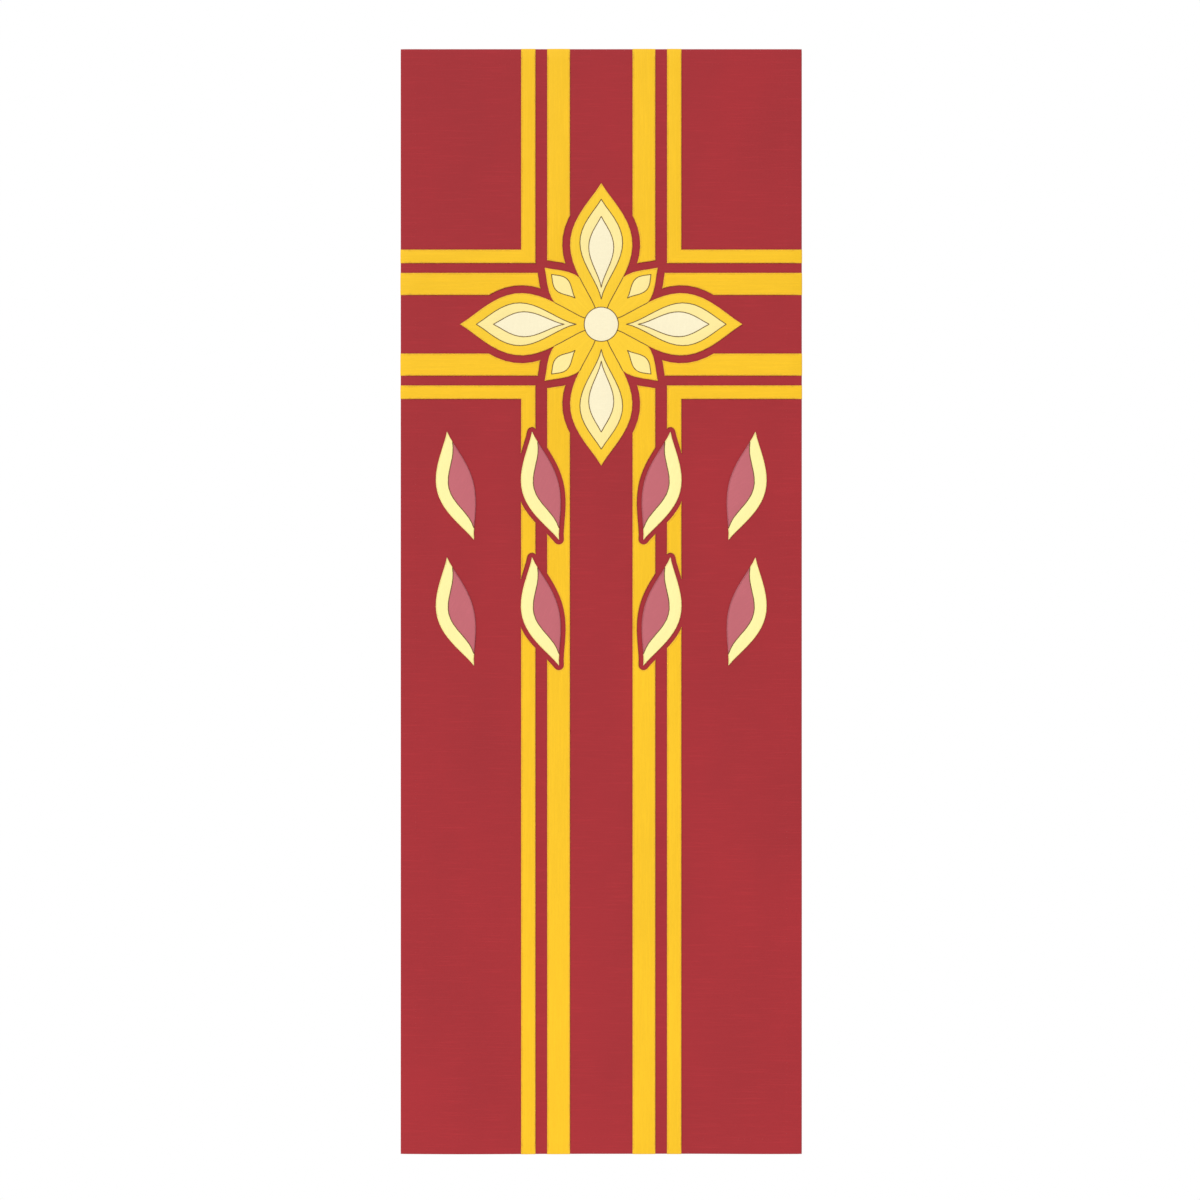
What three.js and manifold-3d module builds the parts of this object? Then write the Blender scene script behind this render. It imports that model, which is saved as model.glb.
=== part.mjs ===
// A tall hanging banner of crimson cloth. Gold bands sewn on it draw a cross, a rosette of petals
// lies on the crossing, and two rows of two-tone leaves stand below it. It hangs flat by its top edge.
// Shapes are drawn face on: x to the right, y up from the top edge, z towards the viewer. The last
// group stands the drawing upright, so that +Z is up and the front faces -Y.

import * as THREE from "three";
import { mergeVertices } from "three/addons/utils/BufferGeometryUtils.js";
import Module from "manifold-3d";

const wasm = await Module();
wasm.setup();

// Ground cloth, in millimetres
const WIDTH = 610;
const HEIGHT = 1680;
const CLOTH_THICKNESS = 1.2;
const HEM_WIDTH = 25;
const HEM_THICKNESS = 1.2; // the turned-in cloth behind the panel

// Pieces sewn on the front
const PIECE_THICKNESS = 1;
const SEAT_GAP = 0.3; // between the ground cloth and a piece
const JOIN_GAP = 0.3; // between pieces that meet edge to edge
const ROSETTE_MARGIN = 12; // bare ground kept round the rosette
const LEAF_MARGIN = 7.5; // bare ground kept round each leaf
const SLIVER_AREA = 200; // a scrap of band smaller than this, in square millimetres, isn't sewn on

// The cross: each band comes in along the shaft and turns out along the arm
const CROSSING_DROP = 418.5; // from the top edge to the middle of the cross
const BANDS = [
  { name: "narrow_band", shaftInner: 99.8, shaftOuter: 122, armInner: 92.8, armOuter: 113.7 },
  { name: "wide_band", shaftInner: 47.4, shaftOuter: 82.4, armInner: 44.3, armOuter: 78.3 },
];

// The rosette, measured outwards from the crossing
const CENTRE_RADIUS = 26;
const CENTRE_STEPS = 40;
const LONG_PETAL = { start: 0, end: 214, halfWidth: 47, steps: 18 };
const LONG_MIDDLE = { start: 38, end: 190, halfWidth: 32.5, steps: 16 };
const LONG_HEART = { start: 56, end: 164, halfWidth: 19, steps: 14 };
const SHORT_PETAL = { start: 0, end: 121, halfWidth: 27, steps: 12 };
const SHORT_MIDDLE = { start: 56, end: 107, halfWidth: 12, steps: 10 };
const PETAL_LEAN = 1.22; // over 1 moves the widest place outwards
const PETAL_POINT = 1.15; // over 1 draws both ends to a finer point
const QUARTERS = [
  { long: "right", short: "upper_right" },
  { long: "top", short: "upper_left" },
  { long: "left", short: "lower_left" },
  { long: "bottom", short: "lower_right" },
];

// The leaves: straw crescent on the outer side, rose blade on the inner side
const LEAF_LENGTH = 168;
const LEAF_HALF_WIDTH = 28;
const LEAF_POINT = 1.2;
const LEAF_BOW = 8; // how far the leaf's middle line bends outwards
const LEAF_TILT = THREE.MathUtils.degToRad(14); // the tip leans outwards
const LEAF_STEPS = 20;
const BLADE_FROM = 0.1; // where the blade starts and ends, as shares of the leaf's length
const BLADE_TO = 0.9;
const BLADE_DEPTH = 1.35; // how far the blade reaches across the leaf, in half-widths
const BLADE_FULLNESS = 0.8; // under 1 makes the blade's ends blunter
const LEAF_ROWS = [
  { name: "upper", drop: 664 },
  { name: "lower", drop: 855 },
];
const LEAF_COLUMNS = [
  { name: "inner", offset: 84.75 },
  { name: "outer", offset: 214 },
];
const SIDES = [
  { name: "left", sign: -1 },
  { name: "right", sign: 1 },
];

const PIECE_BACK = CLOTH_THICKNESS / 2 + SEAT_GAP;
const ARC_STEP = THREE.MathUtils.degToRad(18); // the coarsest step of a round corner

// Cloth of one colour
function clothOf(colour) {
  return new THREE.MeshStandardMaterial({ color: colour, roughness: 0.85, metalness: 0 });
}

const CRIMSON = clothOf(0xab363c);
const BAND_GOLD = clothOf(0xfbc82e);
const PETAL_GOLD = clothOf(0xfed13e);
const PALE_GOLD = clothOf(0xfbe89e);
const CREAM = clothOf(0xfdf3d0);
const STRAW = clothOf(0xfff3aa);
const ROSE = clothOf(0xc46e76);

function point(x, y) {
  return new THREE.Vector2(x, y);
}

// The same outline, turned round the origin and then moved
function placed(outline, angle, x, y) {
  return outline.map((corner) => corner.clone().rotateAround(point(0, 0), angle).add(point(x, y)));
}

function counterclockwise(outline) {
  return THREE.ShapeUtils.isClockWise(outline) ? [...outline].reverse() : outline;
}

// The direction that faces out of a counterclockwise outline between two of its corners
function outwardAngle(from, to) {
  return Math.atan2(from.x - to.x, to.y - from.y);
}

// The turn from one direction to another, between minus and plus half a circle
function turnBetween(first, second) {
  return THREE.MathUtils.euclideanModulo(second - first + Math.PI, 2 * Math.PI) - Math.PI;
}

// A counterclockwise outline pushed outwards by a margin, with a round turn at each sharp corner
function grown(outline, margin) {
  return outline.flatMap((corner, index) => {
    const before = outline.at(index - 1);
    const after = outline[(index + 1) % outline.length];
    const first = outwardAngle(before, corner);
    const turn = turnBetween(first, outwardAngle(corner, after));
    const steps = Math.max(0, Math.floor(turn / ARC_STEP));
    const angles = steps === 0
      ? [first + turn / 2]
      : Array.from({ length: steps + 1 }, (_, step) => first + (turn * step) / steps);
    return angles.map((angle) => point(margin * Math.cos(angle), margin * Math.sin(angle)).add(corner));
  });
}

// The closed solid of an outline between two heights
function slab(outline, bottom, top) {
  const shape = new THREE.Shape(outline);
  const extruded = new THREE.ExtrudeGeometry(shape, { depth: top - bottom, bevelEnabled: false });
  extruded.deleteAttribute("normal");
  extruded.deleteAttribute("uv");
  extruded.translate(0, 0, bottom);
  const merged = mergeVertices(extruded);
  return new wasm.Manifold(
    new wasm.Mesh({
      numProp: 3,
      vertProperties: merged.attributes.position.array,
      triVerts: new Uint32Array(merged.index.array),
    }),
  );
}

// A piece of the sewn-on layer
function piece(outline) {
  return slab(outline, PIECE_BACK, PIECE_BACK + PIECE_THICKNESS);
}

// A cutter that reaches through the sewn-on layer
function cutter(outline) {
  return slab(outline, PIECE_BACK - PIECE_THICKNESS, PIECE_BACK + 2 * PIECE_THICKNESS);
}

function named(name, solid, material) {
  const { vertProperties, triVerts } = solid.getMesh();
  const geometry = new THREE.BufferGeometry();
  geometry.setAttribute("position", new THREE.BufferAttribute(vertProperties, 3));
  geometry.setIndex(new THREE.BufferAttribute(triVerts, 1));
  geometry.computeVertexNormals();
  const mesh = new THREE.Mesh(geometry, material);
  mesh.name = name;
  return mesh;
}

// A rectangle centred on x = 0, drawn in from the cloth's edges by an inset
function panelOutline(inset) {
  const edge = WIDTH / 2 - inset;
  const bottom = inset - HEIGHT;
  return [point(-edge, bottom), point(edge, bottom), point(edge, -inset), point(-edge, -inset)];
}

// The ground cloth, with its hem turned to the back as a raised rim
function groundCloth() {
  const back = -CLOTH_THICKNESS / 2;
  const hemBack = back - HEM_THICKNESS;
  const folded = slab(panelOutline(0), hemBack, CLOTH_THICKNESS / 2);
  const insideHem = slab(panelOutline(HEM_WIDTH), hemBack - HEM_THICKNESS, back);
  return named("ground_cloth", folded.subtract(insideHem), CRIMSON);
}

// One quarter's L-shaped band, from the cloth's top or bottom edge to its side edge
function bandOutline(band, side, up) {
  const end = up > 0 ? 0 : -HEIGHT;
  const armInner = up * band.armInner - CROSSING_DROP;
  const armOuter = up * band.armOuter - CROSSING_DROP;
  return counterclockwise([
    point(side * band.shaftInner, end),
    point(side * band.shaftOuter, end),
    point(side * band.shaftOuter, armOuter),
    point((side * WIDTH) / 2, armOuter),
    point((side * WIDTH) / 2, armInner),
    point(side * band.shaftInner, armInner),
  ]);
}

// What is left of a quarter's band outside the motifs' margins, named from the top down
function bandPieces(band, side, up, margins) {
  const kept = piece(bandOutline(band, side.sign, up)).subtract(margins);
  const strips = kept.decompose().filter((strip) => strip.volume() > SLIVER_AREA * PIECE_THICKNESS);
  strips.sort((a, b) => b.boundingBox().max[1] - a.boundingBox().max[1]);
  const base = `${band.name}_${up > 0 ? "upper" : "lower"}_${side.name}`;
  return strips.map((strip, index) => {
    const name = strips.length > 1 ? `${base}_${index + 1}` : base;
    return named(name, strip, BAND_GOLD);
  });
}

// A pointed oval along +x, counterclockwise from its inner end
function petalOutline(petal) {
  return Array.from({ length: 2 * petal.steps }, (_, index) => {
    const along = 1 - Math.abs(1 - index / petal.steps);
    const swell = Math.sin(Math.PI * along ** PETAL_LEAN) ** PETAL_POINT;
    const across = index < petal.steps ? -1 : 1;
    return point(petal.start + (petal.end - petal.start) * along, across * petal.halfWidth * swell);
  });
}

function centreOutline(radius) {
  return Array.from({ length: CENTRE_STEPS }, (_, index) => {
    const angle = (2 * Math.PI * index) / CENTRE_STEPS;
    return point(radius * Math.cos(angle), radius * Math.sin(angle));
  });
}

// A quarter of the rosette: a long petal along +x and a short one between it and the next
function rosetteQuarter(quarter) {
  const diagonal = Math.PI / 4;
  const long = petalOutline(LONG_PETAL);
  const longMiddle = petalOutline(LONG_MIDDLE);
  const longHeart = petalOutline(LONG_HEART);
  const short = placed(petalOutline(SHORT_PETAL), diagonal, 0, 0);
  const shortMiddle = placed(petalOutline(SHORT_MIDDLE), diagonal, 0, 0);
  const centre = cutter(centreOutline(CENTRE_RADIUS + JOIN_GAP));
  const longSpace = cutter(grown(long, JOIN_GAP));
  const nextLongSpace = cutter(grown(placed(long, 2 * diagonal, 0, 0), JOIN_GAP));

  const longBorder = piece(long).subtract(cutter(grown(longMiddle, JOIN_GAP))).subtract(centre);
  const longRing = piece(longMiddle).subtract(cutter(grown(longHeart, JOIN_GAP)));
  const shortBorder = piece(short)
    .subtract(longSpace)
    .subtract(nextLongSpace)
    .subtract(cutter(grown(shortMiddle, JOIN_GAP)))
    .subtract(centre);

  const group = new THREE.Group();
  group.add(
    named(`long_petal_${quarter.long}_border`, longBorder, PETAL_GOLD),
    named(`long_petal_${quarter.long}_middle`, longRing, PALE_GOLD),
    named(`long_petal_${quarter.long}_heart`, piece(longHeart), CREAM),
    named(`short_petal_${quarter.short}_border`, shortBorder, PETAL_GOLD),
    named(`short_petal_${quarter.short}_middle`, piece(shortMiddle), PALE_GOLD),
  );
  return group;
}

function rosette() {
  const group = new THREE.Group();
  group.position.y = -CROSSING_DROP;
  group.add(named("rosette_centre", piece(centreOutline(CENTRE_RADIUS)), CREAM));
  QUARTERS.forEach((quarter, index) => {
    const turned = rosetteQuarter(quarter);
    turned.rotation.z = (index * Math.PI) / 2;
    group.add(turned);
  });
  return group;
}

// The bare ground that the bands keep clear round the rosette
function rosetteMargin() {
  return QUARTERS.flatMap((_, index) => [
    placed(petalOutline(LONG_PETAL), (index * Math.PI) / 2, 0, -CROSSING_DROP),
    placed(petalOutline(SHORT_PETAL), ((index + 0.5) * Math.PI) / 2, 0, -CROSSING_DROP),
  ]).map((outline) => cutter(grown(outline, ROSETTE_MARGIN)));
}

// The leaf's outer edge, inner edge and the seam between its two pieces, at a share of its length
function leafAt(along) {
  const middle = LEAF_BOW * Math.sin(Math.PI * along);
  const half = LEAF_HALF_WIDTH * Math.sin(Math.PI * along) ** LEAF_POINT;
  const share = THREE.MathUtils.clamp((along - BLADE_FROM) / (BLADE_TO - BLADE_FROM), 0, 1);
  const seam = middle - half * (1 - BLADE_DEPTH * Math.sin(Math.PI * share) ** BLADE_FULLNESS);
  return { y: (along - 0.5) * LEAF_LENGTH, outer: middle + half, inner: middle - half, seam };
}

// Points of one of the leaf's lines between two shares of its length
function leafLine(edge, from, to) {
  const steps = Math.round(LEAF_STEPS * Math.abs(to - from));
  return Array.from({ length: steps + 1 }, (_, step) => {
    const at = leafAt(from + ((to - from) * step) / steps);
    return point(at[edge], at.y);
  });
}

// A whole leaf and its blade for one side of the banner, with the outer edge facing outwards
function leafOutlines(sign) {
  const whole = [...leafLine("outer", 0, 1), ...leafLine("inner", 1, 0).slice(1, -1)];
  const blade = [
    ...leafLine("seam", BLADE_FROM, BLADE_TO),
    ...leafLine("inner", BLADE_TO, BLADE_FROM).slice(1, -1),
  ];
  const mirrored = (outline) =>
    counterclockwise(outline.map((corner) => point(sign * corner.x, corner.y)));
  return { whole: mirrored(whole), blade: mirrored(blade) };
}

// Every leaf's name, side, place and lean
function leafPlaces() {
  return LEAF_ROWS.flatMap((row) =>
    SIDES.flatMap((side) =>
      LEAF_COLUMNS.map((column) => ({
        name: `leaf_${row.name}_${column.name}_${side.name}`,
        sign: side.sign,
        x: side.sign * column.offset,
        y: -row.drop,
        angle: -side.sign * LEAF_TILT,
      })),
    ),
  );
}

function leaf(place) {
  const { whole, blade } = leafOutlines(place.sign);
  const group = new THREE.Group();
  group.position.set(place.x, place.y, 0);
  group.rotation.z = place.angle;
  group.add(
    named(`${place.name}_crescent`, piece(whole).subtract(cutter(grown(blade, JOIN_GAP))), STRAW),
    named(`${place.name}_blade`, piece(blade), ROSE),
  );
  return group;
}

function leafMargins() {
  return leafPlaces().map((place) => {
    const outline = grown(leafOutlines(place.sign).whole, LEAF_MARGIN);
    return cutter(placed(outline, place.angle, place.x, place.y));
  });
}

const margins = wasm.Manifold.union([...rosetteMargin(), ...leafMargins()]);

const banner = new THREE.Group();
banner.rotation.x = Math.PI / 2;
banner.add(groundCloth());
for (const band of BANDS) {
  for (const side of SIDES) {
    banner.add(...bandPieces(band, side, 1, margins), ...bandPieces(band, side, -1, margins));
  }
}
banner.add(rosette());
banner.add(...leafPlaces().map(leaf));

export default banner;
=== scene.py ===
"""A tall crimson banner, sewn with a gold cross of stripes, a petal rosette and two rows of leaves.

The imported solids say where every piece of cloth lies. Here each becomes a thin sheet of woven cloth on
the same outline, sewn to the ground with rows of satin stitch, and the whole banner hangs from its top
edge.

Everything is first laid out on the flat cloth, as x across, z up and a height in front of the ground
cloth's middle. Hanging.placed then turns the hems to the back and lets the cloth hang.
"""

from __future__ import annotations

import logging
import math
from collections.abc import Callable, Iterator, Sequence
from dataclasses import dataclass, field, replace
from enum import Enum

import bmesh
import bpy
import numpy as np
from mathutils import Matrix, Vector, noise
from mathutils.kdtree import KDTree


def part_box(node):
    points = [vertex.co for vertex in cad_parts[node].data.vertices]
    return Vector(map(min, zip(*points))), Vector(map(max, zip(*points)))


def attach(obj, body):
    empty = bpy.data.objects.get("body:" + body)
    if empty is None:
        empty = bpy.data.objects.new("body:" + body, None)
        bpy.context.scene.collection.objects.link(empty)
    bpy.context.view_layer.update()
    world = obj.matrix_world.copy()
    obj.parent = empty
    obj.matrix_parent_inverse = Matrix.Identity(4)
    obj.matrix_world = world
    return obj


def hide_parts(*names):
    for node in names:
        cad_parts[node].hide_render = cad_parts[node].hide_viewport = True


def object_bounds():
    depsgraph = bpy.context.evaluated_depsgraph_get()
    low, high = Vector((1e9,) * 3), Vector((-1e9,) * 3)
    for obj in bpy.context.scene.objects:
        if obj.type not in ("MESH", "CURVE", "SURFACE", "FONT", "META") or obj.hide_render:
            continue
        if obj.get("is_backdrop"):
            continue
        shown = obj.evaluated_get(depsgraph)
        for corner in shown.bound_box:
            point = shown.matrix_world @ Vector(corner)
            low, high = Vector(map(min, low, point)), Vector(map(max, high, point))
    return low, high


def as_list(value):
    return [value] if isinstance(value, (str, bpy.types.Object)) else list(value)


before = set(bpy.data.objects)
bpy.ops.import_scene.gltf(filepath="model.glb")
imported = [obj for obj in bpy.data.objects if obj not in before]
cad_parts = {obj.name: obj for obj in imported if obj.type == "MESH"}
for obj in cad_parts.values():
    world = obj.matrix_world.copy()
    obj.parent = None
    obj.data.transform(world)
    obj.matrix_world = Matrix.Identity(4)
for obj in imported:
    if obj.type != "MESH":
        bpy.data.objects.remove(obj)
CAD_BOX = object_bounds()

LOG = logging.getLogger("banner")
ROOT = "root"
GROUND = "ground_cloth"
HUNG_GROUND = "ground_cloth_hung"
CENTRE = "rosette_centre"
MM = 0.001
FRONT = Vector((0, -1, 0))
ALMOST_STRAIGHT = 0.9
GRAIN_MAP = "Grain"
BAKE_MAP = "OFBake"
PUCKER = "pucker"
Colour = tuple[int, int, int]
Socket = bpy.types.NodeSocket
Shape = bmesh.types.BMesh


class Slot(Enum):
    """The record's finishes."""

    GROUND = "crimson_cloth"
    BAND = "band_gold"
    PETAL = "petal_gold"
    PALE = "pale_gold"
    CREAM = "cream"
    STRAW = "straw"
    ROSE = "rose"


def linear(colour: Colour) -> tuple[float, float, float, float]:
    """Turns a display colour into the linear one that a shader takes.

    Args:
        colour: Red, green and blue, from 0 to 255.

    Returns:
        Linear red, green and blue, and an alpha of 1.
    """
    shares = [part / 255 for part in colour]
    return (*(s / 12.92 if s <= 0.04045 else ((s + 0.055) / 1.055) ** 2.4 for s in shares), 1.0)


class Graph:
    """Adds and links the shader nodes of a material or of the surroundings.

    Attributes:
        USUAL: The range that noise mostly keeps to.
        tree: The nodes.
    """

    USUAL = (0.3, 0.7)

    def __init__(self, owner: bpy.types.Material | bpy.types.World) -> None:
        """Switches the owner's nodes on.

        Args:
            owner: The material, or the world that holds the surroundings.
        """
        owner.use_nodes = True
        self.tree = owner.node_tree

    def feed(self, node: bpy.types.Node, inputs: dict[str | int, object]) -> None:
        """Feeds a node.

        Args:
            node: The node.
            inputs: A socket to link, or a value to set, for each input's name or number.
        """
        for key, value in inputs.items():
            if isinstance(value, Socket):
                self.tree.links.new(value, node.inputs[key])
            else:
                node.inputs[key].default_value = value

    def dress(self, inputs: dict[str | int, object]) -> None:
        """Feeds the Principled shader that a new material starts with."""
        self.feed(self.tree.nodes["Principled BSDF"], inputs)

    def node(self, kind: str, inputs: dict[str | int, object], **settings: object) -> bpy.types.Node:
        """Adds a node.

        Args:
            kind: The node's type, without its ShaderNode prefix.
            inputs: What it is fed.
            **settings: The node's own properties.

        Returns:
            The node.
        """
        made = self.tree.nodes.new("ShaderNode" + kind)
        for key, value in settings.items():
            setattr(made, key, value)
        self.feed(made, inputs)
        return made

    def math(self, operation: str, *values: object) -> Socket:
        """Returns the output of a Math node on two or three sockets or values."""
        return self.node("Math", dict(enumerate(values)), operation=operation).outputs[0]

    def speckle(self, place: Socket, often: Sequence[float], detail: float) -> Socket:
        """Draws noise.

        Args:
            place: The coordinates, in metres.
            often: How many features it has in a metre, along each axis.
            detail: How many finer layers it has.

        Returns:
            The noise, from 0 to 1.
        """
        scaled = self.node("Mapping", {"Vector": place, "Scale": often}).outputs[0]
        return self.node("TexNoise", {"Vector": scaled, "Scale": 1.0, "Detail": detail}).outputs[0]

    def between(self, value: Socket, low: float, high: float, to_low: float, to_high: float) -> Socket:
        """Returns a value mapped from one range to another, and kept inside it."""
        limits = {"Value": value, 1: low, 2: high, 3: to_low, 4: to_high}
        return self.node("MapRange", limits).outputs[0]

    def varied(self, speckle: Socket, middle: float, by: float) -> Socket:
        """Returns a value that noise moves up and down from its middle."""
        return self.between(speckle, *self.USUAL, middle - by, middle + by)

    def tinted(self, colour: Colour, value: Socket) -> Socket:
        """Returns a display colour that a value near 1 makes lighter or darker."""
        return self.node("HueSaturation", {"Value": value, "Color": linear(colour)}).outputs[0]


@dataclass(frozen=True)
class Yarns:
    """How the yarns of a weave lie on the flat cloth.

    Attributes:
        thick: How many features the thick yarns have in a metre across the cloth, and in a metre up it.
        shown: The strengths of noise at which a thick yarn starts to show, and shows in full.
        warp: The pitch of the ribs that run up the cloth, or nothing for a weave of floating yarns.
        weft: The pitch of the ribs that run across it, or nothing for a weave without them.
        floats: How many the fine yarns have where they float instead.
        detail: How finely the thick yarns are broken up.
        turn: How far the weave is turned from the warp.
    """

    thick: tuple[float, float]
    shown: tuple[float, float]
    warp: float = 0.0
    weft: float = 0.0
    floats: tuple[float, float] = (0, 0)
    detail: float = 2.0
    turn: float = 0.0

    def ribbed(self, graph: Graph, grain: Socket, across: str, pitch: float) -> Socket:
        """Draws ribs.

        Args:
            graph: The material's nodes.
            grain: The flat cloth's coordinates, in metres.
            across: The axis that crosses them, X or Y.
            pitch: The distance between two of them.

        Returns:
            The ribs' height, from 0 to 1.
        """
        # A wave texture has one band in every 2 pi / 20 units at a scale of 1.
        bands = 2 * math.pi / 20 / pitch
        wave = {"Vector": grain, "Scale": bands, "Distortion": 0.6, "Detail": 1.0, "Detail Scale": 0.4}
        return graph.node("TexWave", wave, bands_direction=across).outputs["Fac"]

    def drawn(self, graph: Graph, grain: Socket) -> tuple[Socket, Socket]:
        """Draws the yarns.

        Args:
            graph: The material's nodes.
            grain: The flat cloth's coordinates, in metres.

        Returns:
            The height of the fine yarns and the strength of the thick ones, each from 0 to 1.
        """
        if self.turn:
            grain = graph.node("Mapping", {"Vector": grain, "Rotation": (0, 0, self.turn)}).outputs[0]
        if self.warp:
            fine = self.ribbed(graph, grain, "X", self.warp)
        else:
            fine = graph.speckle(grain, (*self.floats, 1), 1.0)
        if self.weft:
            fine = graph.math("MULTIPLY", fine, self.ribbed(graph, grain, "Y", self.weft))
        thick = graph.speckle(grain, (*self.thick, 1), self.detail)
        return fine, graph.between(thick, *self.shown, 0.0, 1.0)


class Weave(Enum):
    """The ways in which the cloths are woven."""

    SLUBBED = Yarns(thick=(16, 520), shown=(0.53, 0.70), warp=0.8 * MM, weft=0.8 * MM, detail=3.0)
    SATIN = Yarns(thick=(430, 14), shown=(0.45, 0.70), floats=(1500, 130))
    TWILL = Yarns(thick=(500, 40), shown=(0.50, 0.72), warp=1.3 * MM, turn=math.radians(38))
    PLAIN = Yarns(thick=(60, 420), shown=(0.52, 0.75), warp=0.7 * MM, weft=0.9 * MM)


@dataclass(frozen=True)
class ClothFinish:
    """A woven cloth, patterned in the flat cloth's own metres.

    Attributes:
        name: The material's name.
        colour: Its display colour.
        weave: How it is woven.
        roughness: The shader's roughness.
        gloss: The shader's specular level.
        mottle: How much lighter and darker the dye is from place to place.
        slub: How much lighter a thick yarn is.
        sheen: How much the fibres' ends catch the light.
        ribs: How much lighter the fine yarns' crests and darker their hollows are painted, as painted shade
            of the weave.
        wear: How much rougher and smoother the cloth is from place to place.
        relief: How high the yarns stand.
        pucker: How high the cloth wrinkles beside a seam.
        PATCHES: How many patches of fading and wear lie in a metre, along each axis.
        WRINKLES: How many wrinkles lie in a metre, along each axis.
        FINE_SHARE: How much of the relief is that of the fine yarns, as a share.
        BUMP: The strength of the relief.
        FUZZ: The roughness of the sheen.
    """

    name: str
    colour: Colour
    weave: Weave
    roughness: float
    gloss: float
    mottle: float
    slub: float
    sheen: float = 0.0
    ribs: float = 0.05
    wear: float = 0.05
    relief: float = 0.18 * MM
    pucker: float = 0.4 * MM

    PATCHES = (7, 4, 1)
    WRINKLES = (95, 95, 1)
    FINE_SHARE = 0.55
    BUMP = 0.8
    FUZZ = 0.45

    def build(self) -> bpy.types.Material:
        """Makes the material.

        Returns:
            The cloth's material.
        """
        material = bpy.data.materials.new(self.name)
        graph = Graph(material)
        grain = graph.node("UVMap", {}, uv_map=GRAIN_MAP).outputs[0]
        fine, thick = self.weave.value.drawn(graph, grain)
        patches = graph.speckle(grain, self.PATCHES, 4.0)
        faded = graph.varied(patches, 1.0, self.mottle)
        lighter = graph.math("MULTIPLY_ADD", thick, self.slub, 1.0)
        # Painted shade: each fine yarn's crest is painted lighter and its hollow darker, following the same
        # ribs that the bump raises.
        woven = graph.between(fine, 0.0, 1.0, 1 - self.ribs, 1 + self.ribs)
        value = graph.math("MULTIPLY", graph.math("MULTIPLY", faded, lighter), woven)
        low, high = (
            graph.math("MULTIPLY", yarns, share)
            for yarns, share in ((fine, self.FINE_SHARE), (thick, 1 - self.FINE_SHARE))
        )
        height = graph.math("ADD", low, high)
        yarns = graph.node("Bump", {"Height": height, "Distance": self.relief, "Strength": self.BUMP})
        seam = graph.node("Attribute", {}, attribute_name=PUCKER).outputs["Fac"]
        wrinkles = graph.math("MULTIPLY", graph.speckle(grain, self.WRINKLES, 2.0), seam)
        creases = {"Height": wrinkles, "Distance": self.pucker, "Strength": 1.0, "Normal": yarns.outputs[0]}
        graph.dress(
            {
                "Base Color": graph.tinted(self.colour, value),
                "Roughness": graph.varied(patches, self.roughness, self.wear),
                "Specular IOR Level": self.gloss,
                "Sheen Weight": self.sheen,
                "Sheen Roughness": self.FUZZ,
                "Normal": graph.node("Bump", creases).outputs[0],
            }
        )
        return material


@dataclass(frozen=True)
class ThreadFinish:
    """An embroidery thread.

    Attributes:
        name: The material's name.
        colour: Its display colour.
        roughness: The shader's roughness.
        gloss: The shader's specular level.
        sheen: How much the fibres' ends catch the light.
        uneven: How much lighter and darker the thread and its plies are from place to place.
        relief: How high the plies stand.
        LENGTHS: How many lighter and darker lengths of thread lie in a metre, along each axis.
        PLIES: How many plies lie in a metre, along each axis.
        BUMP: The strength of the relief.
    """

    name: str
    colour: Colour
    roughness: float = 0.42
    gloss: float = 0.35
    sheen: float = 0.1
    uneven: float = 0.05
    relief: float = 0.1 * MM

    LENGTHS = (210, 210, 210)
    PLIES = (2600, 2600, 2600)
    BUMP = 0.6

    def build(self) -> bpy.types.Material:
        """Makes the material.

        Returns:
            The thread's material.
        """
        material = bpy.data.materials.new(self.name)
        graph = Graph(material)
        place = graph.node("TexCoord", {}).outputs["Object"]
        lengths = graph.speckle(place, self.LENGTHS, 1.0)
        plies = graph.speckle(place, self.PLIES, 2.0)
        shades = [graph.varied(speckle, 1.0, self.uneven) for speckle in (lengths, plies)]
        bump = graph.node("Bump", {"Height": plies, "Distance": self.relief, "Strength": self.BUMP})
        graph.dress(
            {
                "Base Color": graph.tinted(self.colour, graph.math("MULTIPLY", *shades)),
                "Roughness": self.roughness,
                "Specular IOR Level": self.gloss,
                "Sheen Weight": self.sheen,
                "Normal": bump.outputs[0],
            }
        )
        return material


@dataclass(frozen=True)
class Wave:
    """One of the long waves in which the cloth hangs.

    Attributes:
        depth: Its depth, as a share of the cloth's roll.
        across: Its length across the cloth.
        up: Its length up the cloth, without end where it runs straight down.
        start: Its phase, in radians.
        drift: How far the phase has moved at the foot, in radians.
    """

    depth: float
    across: float
    up: float
    start: float
    drift: float


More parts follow.
